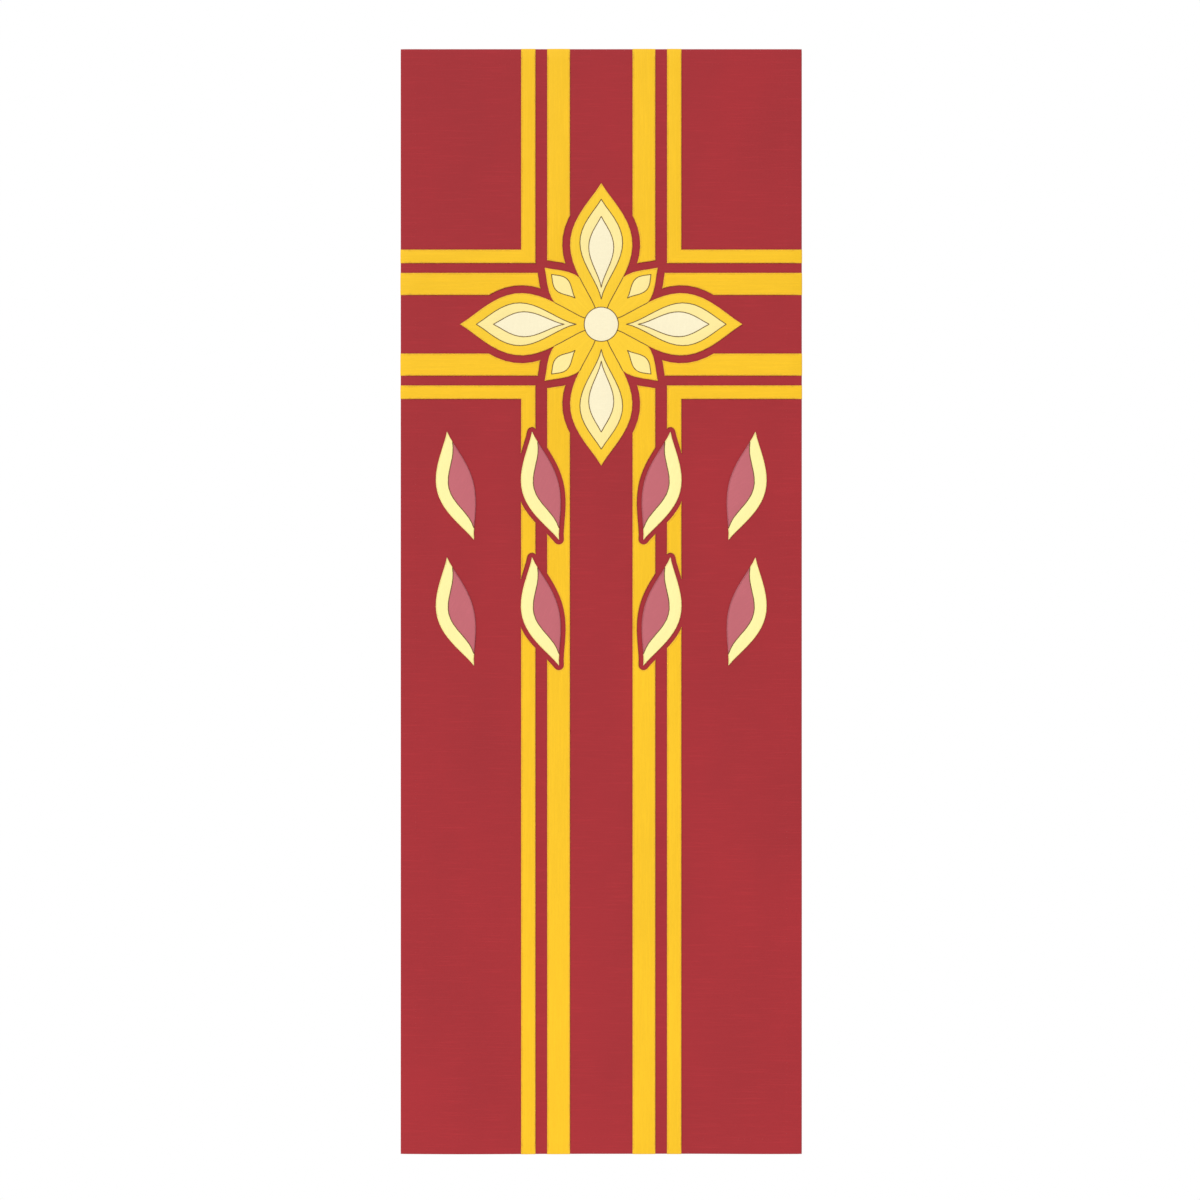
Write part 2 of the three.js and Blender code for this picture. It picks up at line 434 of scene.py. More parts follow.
@dataclass(frozen=True)
class Hanging:
    """How the ground cloth is hemmed and how it hangs.

    Attributes:
        low: The finished banner's lowest corner.
        high: Its highest corner.
        middle: The y of the ground cloth's middle.
        thickness: The ground cloth's thickness.
        fold_radius: The radius of the cloth's middle where it turns to the back.
        fold_inset: How far inside the banner's edge the cloth starts to turn.
        fold_steps: At how many places it bends in the fold.
        hem: How wide the hem is on the back.
        stub_inset: How much shorter than the hem a band's turned end is.
        roll: How far the cloth comes forward and goes back at its foot.
        slack: How slowly the roll grows down from the top edge, as a power of the drop.
        waves: The waves that make up the roll.
        ripple: How far the cloth puckers beside a seam.
        ripple_left: How much of that is left far from any seam, as a share.
        ripple_length: How long a pucker is.
        ripple_reach: How far from a seam the cloth still puckers.
        pressed: How thick sewn-on cloth is where it is pressed flat round the fold, as a share.
        press_reach: How far inside the fold it starts to thin.
    """

    low: Vector
    high: Vector
    middle: float = -0.075 * MM
    thickness: float = 1.05 * MM
    fold_radius: float = 0.675 * MM
    fold_inset: float = 1.2 * MM
    fold_steps: int = 8
    hem: float = 25 * MM
    stub_inset: float = 0.5 * MM
    roll: float = 2.4 * MM
    slack: float = 1.2
    waves: tuple[Wave, ...] = (
        Wave(0.50, 430 * MM, math.inf, 0.7, 0.5),
        Wave(0.28, 236 * MM, math.inf, -1.3, -0.9),
        Wave(0.34, 950 * MM, 820 * MM, 0.4, 0.0),
    )
    ripple: float = 0.36 * MM
    ripple_left: float = 0.25
    ripple_length: float = 23 * MM
    ripple_reach: float = 13 * MM
    pressed: float = 0.3
    press_reach: float = 14 * MM

    @property
    def face(self) -> float:
        """The height of the ground cloth's face."""
        return self.thickness / 2

    @property
    def turn(self) -> float:
        """The length of cloth in the fold."""
        return math.pi * self.fold_radius

    @property
    def stub(self) -> float:
        """The length of cloth that a band has past the banner's edge, to end just inside the raw edge."""
        return self.turn + self.hem - 2 * self.fold_inset - self.stub_inset

    @property
    def hem_back(self) -> float:
        """How far behind the ground cloth's middle the hem's outer face lies."""
        return 2 * self.fold_radius + self.face

    def height(self, y: np.ndarray | float) -> np.ndarray | float:
        """Returns how far a y lies in front of the ground cloth's middle."""
        return self.middle - y

    def sway(self, x: np.ndarray, z: np.ndarray) -> np.ndarray:
        """Says how far the hanging cloth lies behind a plane.

        Args:
            x: How far across each point is.
            z: How high each point is.

        Returns:
            The distance back at each point, nothing along the top edge and most at the foot.
        """
        drop = np.clip((self.high.z - z) / (self.high.z - self.low.z), 0, 1)
        waves = sum(
            w.depth * np.sin(2 * math.pi * (x / w.across + z / w.up) + w.start + w.drift * drop)
            for w in self.waves
        )
        return self.roll * waves * drop**self.slack

    def seam_share(self, off: np.ndarray) -> np.ndarray:
        """Returns how much of its full pucker the cloth has at distances from the nearest seam."""
        return np.exp(-((off / self.ripple_reach) ** 2))

    def puckers(self, x: np.ndarray, z: np.ndarray, share: np.ndarray | float) -> np.ndarray:
        """Says how far the sewn cloth lies behind smoothly hanging cloth.

        Args:
            x: How far across each point is.
            z: How high each point is.
            share: How much of its full pucker the cloth has at each point.

        Returns:
            The distance back at each point.
        """
        waves = [noise.noise(Vector((a, b, 0.0)) / self.ripple_length) for a, b in zip(x, z, strict=True)]
        return self.ripple * (self.ripple_left + share) * np.array(waves)

    def thinned(self, height: np.ndarray, past: np.ndarray) -> np.ndarray:
        """Presses sewn-on cloth flat where it nears the fold.

        Args:
            height: The height of each point.
            past: How far past the start of the fold it is.

        Returns:
            The new heights.
        """
        ease = np.clip(1 + past / self.press_reach, 0, 1)
        ease = ease * ease * (3 - 2 * ease)
        return height - np.maximum(height - self.face, 0) * (1 - self.pressed) * ease

    def placed(self, flat: np.ndarray, share: np.ndarray | float = 1.0) -> np.ndarray:
        """Turns the hems to the back, puckers the cloth and hangs it.

        Args:
            flat: Points on the flat cloth, as x, z and height, along the last axis. Where there is an axis
                between, as for the corners of stitches, its points move together.
            share: How much of its full pucker the cloth has at each point.

        Returns:
            The points in the banner's frame.
        """
        x, z, height = flat[..., 0], flat[..., 1], flat[..., 2]
        spans = []
        for value, low, high in ((x, self.low.x, self.high.x), (z, self.low.z, self.high.z)):
            centre, reach = (low + high) / 2, (high - low) / 2 - self.fold_inset
            spans.append((value - centre, centre, reach, np.abs(value - centre) - reach))
        height = self.thinned(height, np.maximum(spans[0][3], spans[1][3]))
        y = self.middle - height
        sides = []
        for value, centre, reach, past in spans:
            angle = np.clip(past / self.fold_radius, 0, math.pi)
            around = np.where(angle > 0, (self.fold_radius + height) * np.sin(angle), past)
            around = np.where(past > self.turn, self.turn - past, around)
            y = y + (self.fold_radius + height) * (1 - np.cos(angle))
            sides.append(centre + np.sign(value) * (reach + around))
        y = y + self.sway(sides[0], sides[1])
        if flat.ndim == 2:
            y = y + self.puckers(sides[0], sides[1], share)
        else:
            y = y + self.puckers(sides[0][:, 0], sides[1][:, 0], share)[:, None]
        return np.stack([sides[0], y, sides[1]], axis=-1)


@dataclass(frozen=True)
class Line:
    """A line of evenly spaced places for stitches on the flat cloth.

    Attributes:
        points: The places, as x and z.
        outward: The unit vectors that point off the cloth being sewn down.
    """

    points: np.ndarray
    outward: np.ndarray

    def kept(self, mask: np.ndarray) -> Line:
        """Returns the part of the line where the mask is true."""
        return Line(self.points[mask], self.outward[mask])


@dataclass(frozen=True)
class Run:
    """A cut edge on the flat cloth, with its own cloth on the left.

    Attributes:
        points: Its corners in order, as x and z.
        closed: Whether the last corner joins the first.
    """

    points: np.ndarray
    closed: bool

    @property
    def is_hole(self) -> bool:
        """Whether it goes round a hole in its piece."""
        after = np.roll(self.points, -1, axis=0)
        turn = self.points[:, 0] * after[:, 1] - after[:, 0] * self.points[:, 1]
        return self.closed and float(turn.sum()) < 0

    def spaced(self, pitch: float, ease: float = 1.8 * MM) -> Line:
        """Places stitches along the edge.

        Args:
            pitch: The distance between two stitches.
            ease: How far to each side of a stitch the edge is looked at, so that they fan round corners.

        Returns:
            The line of places.
        """
        path = np.vstack([self.points, self.points[:1]]) if self.closed else self.points
        reach = np.concatenate([[0.0], np.cumsum(np.linalg.norm(np.diff(path, axis=0), axis=1))])
        total = reach[-1]
        count = max(3, round(total / pitch))
        stops = (np.arange(count) + 0.5) * total / count

        def at(stop: np.ndarray) -> np.ndarray:
            """Returns the points at distances along the edge."""
            held = stop % total if self.closed else np.clip(stop, 0, total)
            return np.column_stack([np.interp(held, reach, path[:, k]) for k in (0, 1)])

        ahead = at(stops + ease) - at(stops - ease)
        ahead /= np.maximum(np.linalg.norm(ahead, axis=1, keepdims=True), 1e-12)
        return Line(at(stops), np.column_stack([ahead[:, 1], -ahead[:, 0]]))


def along(axis: int, length: float) -> Vector:
    """Returns a vector of a length along one axis."""
    return Vector([length if k == axis else 0.0 for k in range(3)])


def facing(face: bmesh.types.BMFace, way: Vector) -> bool:
    """Returns whether a face looks almost straight in a direction."""
    return face.normal.dot(way) > ALMOST_STRAIGHT


def welded(name: str) -> Shape:
    """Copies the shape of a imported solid, with its loose triangles joined.

    Args:
        name: The solid's node.

    Returns:
        The shape.
    """
    bm = bmesh.new()
    bm.from_mesh(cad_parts[name].data)
    bmesh.ops.remove_doubles(bm, verts=bm.verts, dist=1e-6)
    bm.normal_update()
    bm.verts.index_update()
    return bm


def cut(bm: Shape, point: Sequence[float], normal: Sequence[float]) -> None:
    """Cuts a shape's faces along a plane, and keeps both sides."""
    geometry = [*bm.verts, *bm.edges, *bm.faces]
    bmesh.ops.bisect_plane(bm, geom=geometry, dist=1e-7, plane_co=point, plane_no=normal)


def added(name: str, data: bpy.types.ID) -> bpy.types.Object:
    """Puts an object in the scene.

    Args:
        name: The object's name.
        data: Its mesh, light or camera.

    Returns:
        The object.
    """
    made = bpy.data.objects.new(name, data)
    bpy.context.scene.collection.objects.link(made)
    return made


def finished(bm: Shape, name: str, material: bpy.types.Material) -> bpy.types.Object:
    """Makes an object of a shape.

    Args:
        bm: The shape, which is freed.
        name: The object's name.
        material: Its material.

    Returns:
        The object.
    """
    mesh = bpy.data.meshes.new(name)
    bm.to_mesh(mesh)
    bm.free()
    mesh.materials.append(material)
    return added(name, mesh)


class Pattern:
    """The cut edges of every piece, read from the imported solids.

    Attributes:
        SAMPLE: The distance between the points at which an edge is measured.
        RIM: How near the banner's own edge a point counts as lying on it.
        DEPTHS: In how many steps the room for a stitch is measured.
        CLEAR: How far from any edge a stitch's inner end stays, as a share of how far in it lies.
        hanging: How the ground cloth is hemmed.
        runs: The edges of each piece.
        trees: For each piece, a tree of close points on its edges.
    """

    SAMPLE = 1.0 * MM
    RIM = 0.6 * MM
    DEPTHS = 6
    CLEAR = 0.75

    def __init__(self, hanging: Hanging) -> None:
        """Reads the edges.

        Args:
            hanging: How the ground cloth is hemmed, which says where its own edges are.
        """
        self.hanging = hanging
        self.runs = {name: self.edges_of(name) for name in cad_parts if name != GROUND}
        self.trees = {name: self.tree([name]) for name in self.runs}

    def on_rim(self, points: np.ndarray) -> np.ndarray:
        """Looks for points on the banner's own edge.

        Args:
            points: The points, as x and z.

        Returns:
            True for each point that lies on it.
        """
        low, high = self.hanging.low, self.hanging.high
        beside = (points[:, 0] < low.x + self.RIM) | (points[:, 0] > high.x - self.RIM)
        return beside | (points[:, 1] < low.z + self.RIM) | (points[:, 1] > high.z - self.RIM)

    def edges_of(self, name: str) -> list[Run]:
        """Follows the edge of a solid's front face.

        Args:
            name: The solid's node.

        Returns:
            Its closed edges, or the open ones that a piece has where it is turned to the back with the hem.
        """
        bm = welded(name)
        following = {}
        for face in bm.faces:
            if not facing(face, FRONT):
                continue
            for corner in face.loops:
                if not facing(corner.link_loop_radial_next.face, FRONT):
                    following[corner.vert.index] = corner.link_loop_next.vert.index
        places = {v.index: (v.co.x, v.co.z) for v in bm.verts}
        bm.free()
        runs = []
        while following:
            first = min(following)
            ring = [first]
            while following[ring[-1]] != first:
                ring.append(following.pop(ring[-1]))
            following.pop(ring[-1])
            runs += self.opened(np.array([places[i] for i in ring]))
        return runs

    def opened(self, ring: np.ndarray) -> list[Run]:
        """Cuts a closed edge where it follows the banner's own edge, and carries its ends on round the hem.

        Args:
            ring: The closed edge's corners.

        Returns:
            The runs that are left.
        """
        rim = self.on_rim(ring)
        along_rim = rim & np.roll(rim, -1)
        if not along_rim.any():
            return [Run(ring, True)]
        start = int(np.flatnonzero(along_rim)[0]) + 1
        ring, along_rim = np.roll(ring, -start, axis=0), np.roll(along_rim, -start)
        runs, points = [], [ring[0]]
        for corner, leaves in zip(ring[1:], along_rim[:-1], strict=True):
            if leaves:
                runs.append(self.carried_on(np.array(points)))
                points = []
            points.append(corner)
        runs.append(self.carried_on(np.array(points)))
        return runs

    def carried_on(self, points: np.ndarray) -> Run:
        """Carries both ends of an open edge straight on to the end of the turned cloth.

        Args:
            points: The edge's corners.

        Returns:
            The longer run.
        """
        before = points[0] - points[1]
        after = points[-1] - points[-2]
        first = points[0] + before / np.linalg.norm(before) * self.hanging.stub
        last = points[-1] + after / np.linalg.norm(after) * self.hanging.stub
        return Run(np.vstack([first, points, last]), False)

    def tree(self, names: Sequence[str]) -> KDTree:
        """Samples the edges of some pieces.

        Args:
            names: The pieces' nodes.

        Returns:
            A tree of the points.
        """
        points = np.vstack([run.spaced(self.SAMPLE).points for n in names for run in self.runs[n]])
        found = KDTree(len(points))
        for i, (x, z) in enumerate(points):
            found.insert((x, z, 0.0), i)
        found.balance()
        return found

    def apart(self, points: np.ndarray, names: Sequence[str]) -> np.ndarray:
        """Measures how far points lie from the nearest edge of some pieces.

        Args:
            points: The points, as x and z.
            names: The pieces' nodes.

        Returns:
            Each point's distance.
        """
        nearest = np.full(len(points), np.inf)
        for name in names:
            tree = self.trees[name]
            nearest = np.minimum(nearest, [tree.find((x, z, 0.0))[2] for x, z in points])
        return nearest

    def room(self, line: Line, name: str, reach: float) -> np.ndarray:
        """Measures how far stitches may reach in from a piece's edge before they near its other side.

        Args:
            line: Places on the edge.
            name: The piece's node.
            reach: How far they reach where there is room.

        Returns:
            The share of the reach that each place has room for.
        """
        share = np.zeros(len(line.points))
        clear = np.ones(len(line.points), bool)
        for step in range(1, self.DEPTHS + 1):
            depth = reach * step / self.DEPTHS
            clear &= self.apart(line.points - depth * line.outward, [name]) > self.CLEAR * depth
            share[clear] = step / self.DEPTHS
        return np.maximum(share, 1 / self.DEPTHS)


@dataclass(frozen=True)
class Applique:
    """A piece of cloth that is sewn to the front of the ground.

    Attributes:
        node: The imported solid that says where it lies.
        slot: The finish's slot in the record.
        grain: Returns the direction of the warp at points on the piece, in radians from upright.
        width: The width of the flat cut, or of the strip that a band is cut from.
        length: The length of the flat cut, or nothing for a strip, whose length is that of its middle line.
        seam: A plane across the piece where a strip is mitred, as a point and a normal, or nothing.
        tuck: How far the cloth's edge lies inside the solid's, under the stitches that bind it.
        cell: The distance between the cuts that let the cloth bend.
        rise: How far the middle of the piece stands above its edges.
        slope: How far in from an edge most of the rise is reached.
        seam_lift: How far in from an edge the mitre counts as lying, so that the cloth dips along it.
        crease: The angle from which two faces meet with a sharp edge.
        SLACK: How near a plane a corner or a wall counts as lying on it.
    """

    node: str
    slot: Slot
    grain: Callable[[np.ndarray], np.ndarray]
    width: float
    length: float | None = None
    seam: tuple[Vector, Vector] | None = None
    tuck: float = 0.0
    cell: float = 6 * MM
    rise: float = 0.38 * MM
    slope: float = 4.5 * MM
    seam_lift: float = 1.2 * MM
    crease: float = math.radians(50)

    SLACK = 0.1 * MM

    def tucked(self, bm: Shape, pattern: Pattern) -> None:
        """Draws the piece's edges in, but for those on the banner's own edge.

        Args:
            bm: The piece's shape.
            pattern: The cut edges of the pieces.
        """
        steps = []
        walls = [face for face in bm.faces if not (facing(face, FRONT) or facing(face, -FRONT))]
        middles = np.array([face.calc_center_median() for face in walls])[:, (0, 2)]
        cut_edges = {wall for wall, rim in zip(walls, pattern.on_rim(middles), strict=True) if not rim}
        for vertex in bm.verts:
            sides = [face.normal for face in vertex.link_faces if face in cut_edges]
            out = sum(sides, Vector((0, 0, 0)))
            steps.append(out * (-self.tuck * len(sides) / out.length_squared) if sides else out)
        for vertex, step in zip(bm.verts, steps, strict=True):
            vertex.co += step

    def turned_ends(self, bm: Shape, hanging: Hanging) -> None:
        """Lengthens the piece where it is turned to the back with the ground cloth's hem.

        Args:
            bm: The piece's shape.
            hanging: How the ground cloth is hemmed.
        """
        low, high = hanging.low, hanging.high
        for axis, sign, edge in ((0, 1, high.x), (0, -1, low.x), (2, 1, high.z), (2, -1, low.z)):
            walls = [face for face in bm.faces if facing(face, along(axis, sign))]
            ends = [wall for wall in walls if abs(wall.calc_center_median()[axis] - edge) < self.SLACK]
            if not ends:
                continue
            made = bmesh.ops.extrude_face_region(bm, geom=ends)["geom"]
            moved = [part for part in made if isinstance(part, bmesh.types.BMVert)]
            bmesh.ops.translate(bm, vec=along(axis, sign * hanging.stub), verts=moved)
            for share in np.linspace(0, 1, hanging.fold_steps):
                place = edge + sign * (float(share) * hanging.turn - hanging.fold_inset)
                cut(bm, along(axis, place), along(axis, 1.0))

    def divided(self, bm: Shape) -> None:
        """Cuts the piece into cells that can bend.

        Args:
            bm: The piece's shape.
        """
        corners = np.array([v.co for v in bm.verts])
        low, high = corners.min(axis=0), corners.max(axis=0)
        for axis in (0, 2):
            count = math.ceil((high[axis] - low[axis]) / self.cell)
            for step in range(1, count):
                place = low[axis] + (high[axis] - low[axis]) * step / count
                cut(bm, along(axis, place), along(axis, 1.0))
        if self.seam:
            cut(bm, *self.seam)

    def raised(self, points: np.ndarray, inside: np.ndarray) -> np.ndarray:
        """Says how far the front stands above the piece's edges.

        Args:
            points: The points, as x and z.
            inside: How far each is from the piece's edge.

        Returns:
            The height at each point.
        """
        if self.seam:
            point, normal = self.seam
            off = np.abs((points[:, 0] - point.x) * normal.x + (points[:, 1] - point.z) * normal.z)
            inside = np.minimum(inside, off + self.seam_lift)
        return self.rise * (1 - np.exp(-inside / self.slope))

    def laid_grain(self, bm: Shape, flat: np.ndarray) -> None:
        """Writes the flat cloth's coordinates, turned to the warp, as the piece's own map.

        Args:
            bm: The piece's shape.
            flat: Its corners on the flat cloth, as x, z and height.
        """
        layer = bm.loops.layers.uv.new(GRAIN_MAP)
        bm.verts.index_update()
        middles = np.array([f.calc_center_median() for f in bm.faces])[:, (0, 2)]
        for face, angle in zip(bm.faces, self.grain(middles), strict=True):
            c, s = math.cos(angle), math.sin(angle)
            for corner in face.loops:
                x, z, _ = flat[corner.vert.index]
                corner[layer].uv = (x * c + z * s, z * c - x * s)

    def build(self, pattern: Pattern, material: bpy.types.Material) -> bpy.types.Object:
        """Makes the piece.

        Args:
            pattern: The cut edges of the pieces.
            material: The cloth's material.

        Returns:
            The piece, riding on the banner.
        """
        hanging = pattern.hanging
        bm = welded(self.node)
        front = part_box(self.node)[0].y
        bmesh.ops.dissolve_limit(bm, angle_limit=math.radians(0.5), verts=bm.verts, edges=bm.edges)
        if self.tuck:
            self.tucked(bm, pattern)
        self.turned_ends(bm, hanging)
        area = sum(face.calc_area() for face in bm.faces if facing(face, FRONT))
        self.divided(bm)
        solid = np.array([v.co for v in bm.verts])
        flat = np.column_stack([solid[:, 0], solid[:, 2], hanging.height(solid[:, 1])])
        shown = solid[:, 1] < front + self.SLACK
        tree = pattern.trees[self.node]
        inside = np.array([max(tree.find((x, z, 0.0))[2] - self.tuck, 0) for x, z in flat[:, :2]])
        flat[shown, 2] += self.raised(flat[shown, :2], inside[shown])
        self.laid_grain(bm, flat)
        for vertex, place in zip(bm.verts, hanging.placed(flat, hanging.seam_share(inside)), strict=True):
            vertex.co = place
        made = finished(bm, self.node + "_sewn", material)
        made.data.shade_smooth()
        made.data.set_sharp_from_angle(angle=self.crease)
        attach(made, ROOT)
        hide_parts(self.node)
        return made


def upright(points: np.ndarray) -> np.ndarray:
    """Returns a warp that runs straight up at every point."""
    return np.zeros(len(points))


def leaning(angle: float) -> Callable[[np.ndarray], np.ndarray]:
    """Returns a warp that leans by one angle, anticlockwise seen from the front, at every point."""
    return lambda points: np.full(len(points), angle)


@dataclass
class GroundCloth:
    """The crimson panel, hemmed to the back on all four sides.

    Attributes:
        hanging: How it is hemmed and hangs.
        cell: The size of the cells that let it bend.
        panel_inset: How far inside its edge the even grid of cells ends.
        step: How far the cloth's face stands forward over the hem.
        inside_hem: The insets of the rings between the grid and the hem, in millimetres.
        over_hem: The insets of the rings in front of the hem, in millimetres.
        behind: The insets of the rings of the hem itself, out to its raw edge, in millimetres.
    """

    hanging: Hanging
    cell: float = 5.6 * MM
    panel_inset: float = 30 * MM
    step: float = 0.07 * MM
    inside_hem: tuple[float, ...] = (28, 26)
    over_hem: tuple[float, ...] = (24.4, 21, 15, 9, 4)
    behind: tuple[float, ...] = (4, 9, 15, 21, 24.8)

    def profile(self) -> list[tuple[float, float]]:
        """Lists the rings round the panel, out to the fold and back to the hem's raw edge.

        Returns:
            Each ring's inset from the banner's edge and its y.
        """
        hang, radius = self.hanging, self.hanging.fold_radius
        rings = [(inset * MM, hang.middle + self.step) for inset in self.inside_hem]
        rings += [(inset * MM, hang.middle) for inset in self.over_hem]
        for angle in np.linspace(0, math.pi, hang.fold_steps):
            back = radius * (1 - math.cos(angle))
            rings.append((hang.fold_inset - radius * math.sin(angle), hang.middle + back))
        return rings + [(inset * MM, hang.middle + 2 * radius) for inset in self.behind]

    def panel(self) -> Shape:
        """Starts the cloth with the middle of the panel.

        Returns:
            An even grid that faces the viewer.
        """
        low, high = self.hanging.low, self.hanging.high
        wide = high.x - low.x - 2 * self.panel_inset
        tall = high.z - low.z - 2 * self.panel_inset
        centre = Vector(((low.x + high.x) / 2, self.hanging.middle + self.step, (low.z + high.z) / 2))
        stood_up = Matrix.Rotation(math.pi / 2, 4, "X") @ Matrix.Diagonal((wide, tall, 1, 1))
        bm = bmesh.new()
        bmesh.ops.create_grid(
            bm,
            x_segments=round(wide / self.cell),
            y_segments=round(tall / self.cell),
            size=0.5,
            matrix=Matrix.Translation(centre) @ stood_up,
        )
        return bm

    def hemmed(self, bm: Shape) -> None:
        """Extrudes the panel's boundary ring by ring, round the fold to the raw edge.

        Args:
            bm: The panel.
        """
        low, high = self.hanging.low, self.hanging.high
        centre = (low + high) / 2
        half = (high - low) / 2
        rim = [e for e in bm.edges if e.is_boundary]
        inset, depth = self.panel_inset, self.hanging.middle + self.step
        for next_inset, next_depth in self.profile():
            made = bmesh.ops.extrude_edge_only(bm, edges=rim)["geom"]
            moved = [part for part in made if isinstance(part, bmesh.types.BMVert)]
            rim = [part for part in made if isinstance(part, bmesh.types.BMEdge) and part.is_boundary]
            grown = ((half.x - next_inset) / (half.x - inset), 1, (half.z - next_inset) / (half.z - inset))
            bmesh.ops.scale(bm, vec=grown, space=Matrix.Translation(-centre), verts=moved)
            bmesh.ops.translate(bm, vec=(0, next_depth - depth, 0), verts=moved)
            inset, depth = next_inset, next_depth

    def hung(self, bm: Shape, pattern: Pattern) -> None:
        """Puckers the cloth beside the stitching, and hangs it.

        Args:
            bm: The hemmed panel.
            pattern: The cut edges of the pieces, which the stitching follows.
        """
        seams = pattern.tree(list(pattern.runs))
        layer = bm.verts.layers.float.new(PUCKER)
        places = np.array([v.co for v in bm.verts])
        x, z = places[:, 0], places[:, 2]
        off = np.array([seams.find((a, b, 0.0))[2] for a, b in zip(x, z, strict=True)])
        share = self.hanging.seam_share(off)
        back = self.hanging.sway(x, z) + self.hanging.puckers(x, z, share)
        for vertex, near, away in zip(bm.verts, share, back, strict=True):
            vertex[layer] = near
            vertex.co.y += away

    def build(self, pattern: Pattern, material: bpy.types.Material) -> bpy.types.Object:
        """Makes the ground cloth.

        Args:
            pattern: The cut edges of the pieces.
            material: The cloth's material.

        Returns:
            The ground cloth, riding on the banner.
        """
        bm = self.panel()
        self.hemmed(bm)
        layer = bm.loops.layers.uv.new(GRAIN_MAP)
        for face in bm.faces:
            for corner in face.loops:
                corner[layer].uv = (corner.vert.co.x, corner.vert.co.z)
        self.hung(bm, pattern)
        made = finished(bm, HUNG_GROUND, material)
        made.data.shade_smooth()
        wall = made.modifiers.new("thickness", "SOLIDIFY")
        wall.thickness = self.hanging.thickness
        wall.offset = 0.0
        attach(made, ROOT)
        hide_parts(GROUND)
        return made

    def declare(self, cloth: bpy.types.Object, sewing: Sequence[bpy.types.Object]) -> None:
        """Makes a list of the stitching's pieces, and keeps nothing of it.

        Args:
            cloth: The ground cloth's piece. Not used.
            sewing: The stitching's pieces.
        """
        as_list(sewing)


class Spindle:
    """The mesh that stitches share: two tips, and between them some rings of three corners.

    Attributes:
        SIDES: How many sides it has.
        ACROSS: How many half widths each corner of a ring lies along the row, from the ridge on.
        section: For each corner, its section, from 0 at the first tip, counting the rings, to the last tip.
        across: For each corner, how many half widths it lies along the row.
        up: For each corner, 1 on the stitch's ridge and 0 at its foot.
        corners: The corner of each face corner, face by face.
        starts: The first face corner of each face.
        chart: Each face corner's place in the stitch's own cell of a map.
    """

    SIDES = 3
    ACROSS = (0.0, 1.0, -1.0)

    def __init__(self, rings: int) -> None:
        """Makes the spindle from a ball with three sides.

        Args:
            rings: How many rings it has.
        """
        spans = rings + 1
        bm = bmesh.new()
        bmesh.ops.create_uvsphere(bm, u_segments=self.SIDES, v_segments=spans, radius=1.0)
        bm.verts.index_update()
        polar = [math.acos(max(-1.0, min(1.0, v.co.z))) for v in bm.verts]
        self.section = np.array([round(angle / math.pi * spans) for angle in polar])
        ring = (self.section > 0) & (self.section < spans)
        turn = 2 * math.pi / self.SIDES
        around = np.array([math.atan2(v.co.y, v.co.x) % (2 * math.pi) for v in bm.verts])
        first = around[ring].min()
        side = np.rint((around - first) / turn).astype(int) % self.SIDES
        self.across = np.where(ring, np.array(self.ACROSS)[side], 0.0)
        self.up = np.where(ring & (side == 0), 1.0, 0.0)
        corners, starts, chart = [], [], []
        for face in bm.faces:
            starts.append(len(corners))
            middle = face.calc_center_median()
            strip = math.floor(((math.atan2(middle.y, middle.x) - first) / turn) % self.SIDES)
            for corner in face.loops:
                i = corner.vert.index
                corners.append(i)
                over = (side[i] - strip) % self.SIDES if ring[i] else 0.5
                chart.append((self.section[i] / spans, (strip + over) / self.SIDES))
        bm.free()
        self.corners = np.array(corners)
        self.starts = np.array(starts)
        self.chart = np.array(chart)


def level(inner: float, outer: float, height: float) -> tuple[tuple[float, float], ...]:
    """Returns the profile of a stitch with both ends at one height and a shoulder near each."""
    shoulder = 0.4 * MM
    return (-inner, height), (shoulder - inner, height), (outer - shoulder, height), (outer, height)


@dataclass(frozen=True)
class Stitch:
    """How one kind of stitch is laid across a line.

    Attributes:
        pitch: The distance between two stitches.
        profile: For each section of the stitch, how far past the line it is and the height under it.
        width: How wide a stitch is.
        loft: How high it stands.
        behind: Whether it lies on the back of the cloth.
        SUNK: How far its foot is sunk in the cloth.
        UNEVEN: How much stitches differ in reach and height, as a share.
    """

    pitch: float
    profile: tuple[tuple[float, float], ...]
    width: float = 1.12 * MM
    loft: float = 0.42 * MM
    behind: bool = False

    SUNK = 0.06 * MM
    UNEVEN = 0.05

    def halved(self) -> Stitch:
        """Returns the stitch at half its length, as the last one of a row."""
        return replace(self, profile=tuple((past / 2, height) for past, height in self.profile))

    def laid(
        self, line: Line, spindle: Spindle, dice: np.random.Generator, share: np.ndarray | float
    ) -> np.ndarray:
        """Lays a stitch at each place of a line.

        Args:
            line: The places.
            spindle: The stitches' mesh.
            dice: Makes each stitch a little different.
            share: How much of its inner reach each stitch has room for.

        Returns:
            Each stitch's corners on the flat cloth, as x, z and height.
        """
        chance = 1 + self.UNEVEN * dice.normal(0, 1, (len(line.points), 3)).clip(-2, 2)
        past, under = np.array(self.profile).T
        inner = chance[:, :1] * np.broadcast_to(share, len(chance))[:, None]
        off = np.where(past < 0, past * inner, past * chance[:, 1:2])[:, spindle.section]
        height = (under - self.SUNK)[spindle.section] + spindle.up * self.loft * chance[:, 2:]
        sideways = np.tile(spindle.across * self.width / 2, (len(line.points), 1))
        if self.behind:
            height, sideways = -height, -sideways
        ahead = np.column_stack([-line.outward[:, 1], line.outward[:, 0]])
        x = line.points[:, :1] + off * line.outward[:, :1] + sideways * ahead[:, :1]
        z = line.points[:, 1:] + off * line.outward[:, 1:] + sideways * ahead[:, 1:]
        return np.stack([x, z, height], axis=-1)


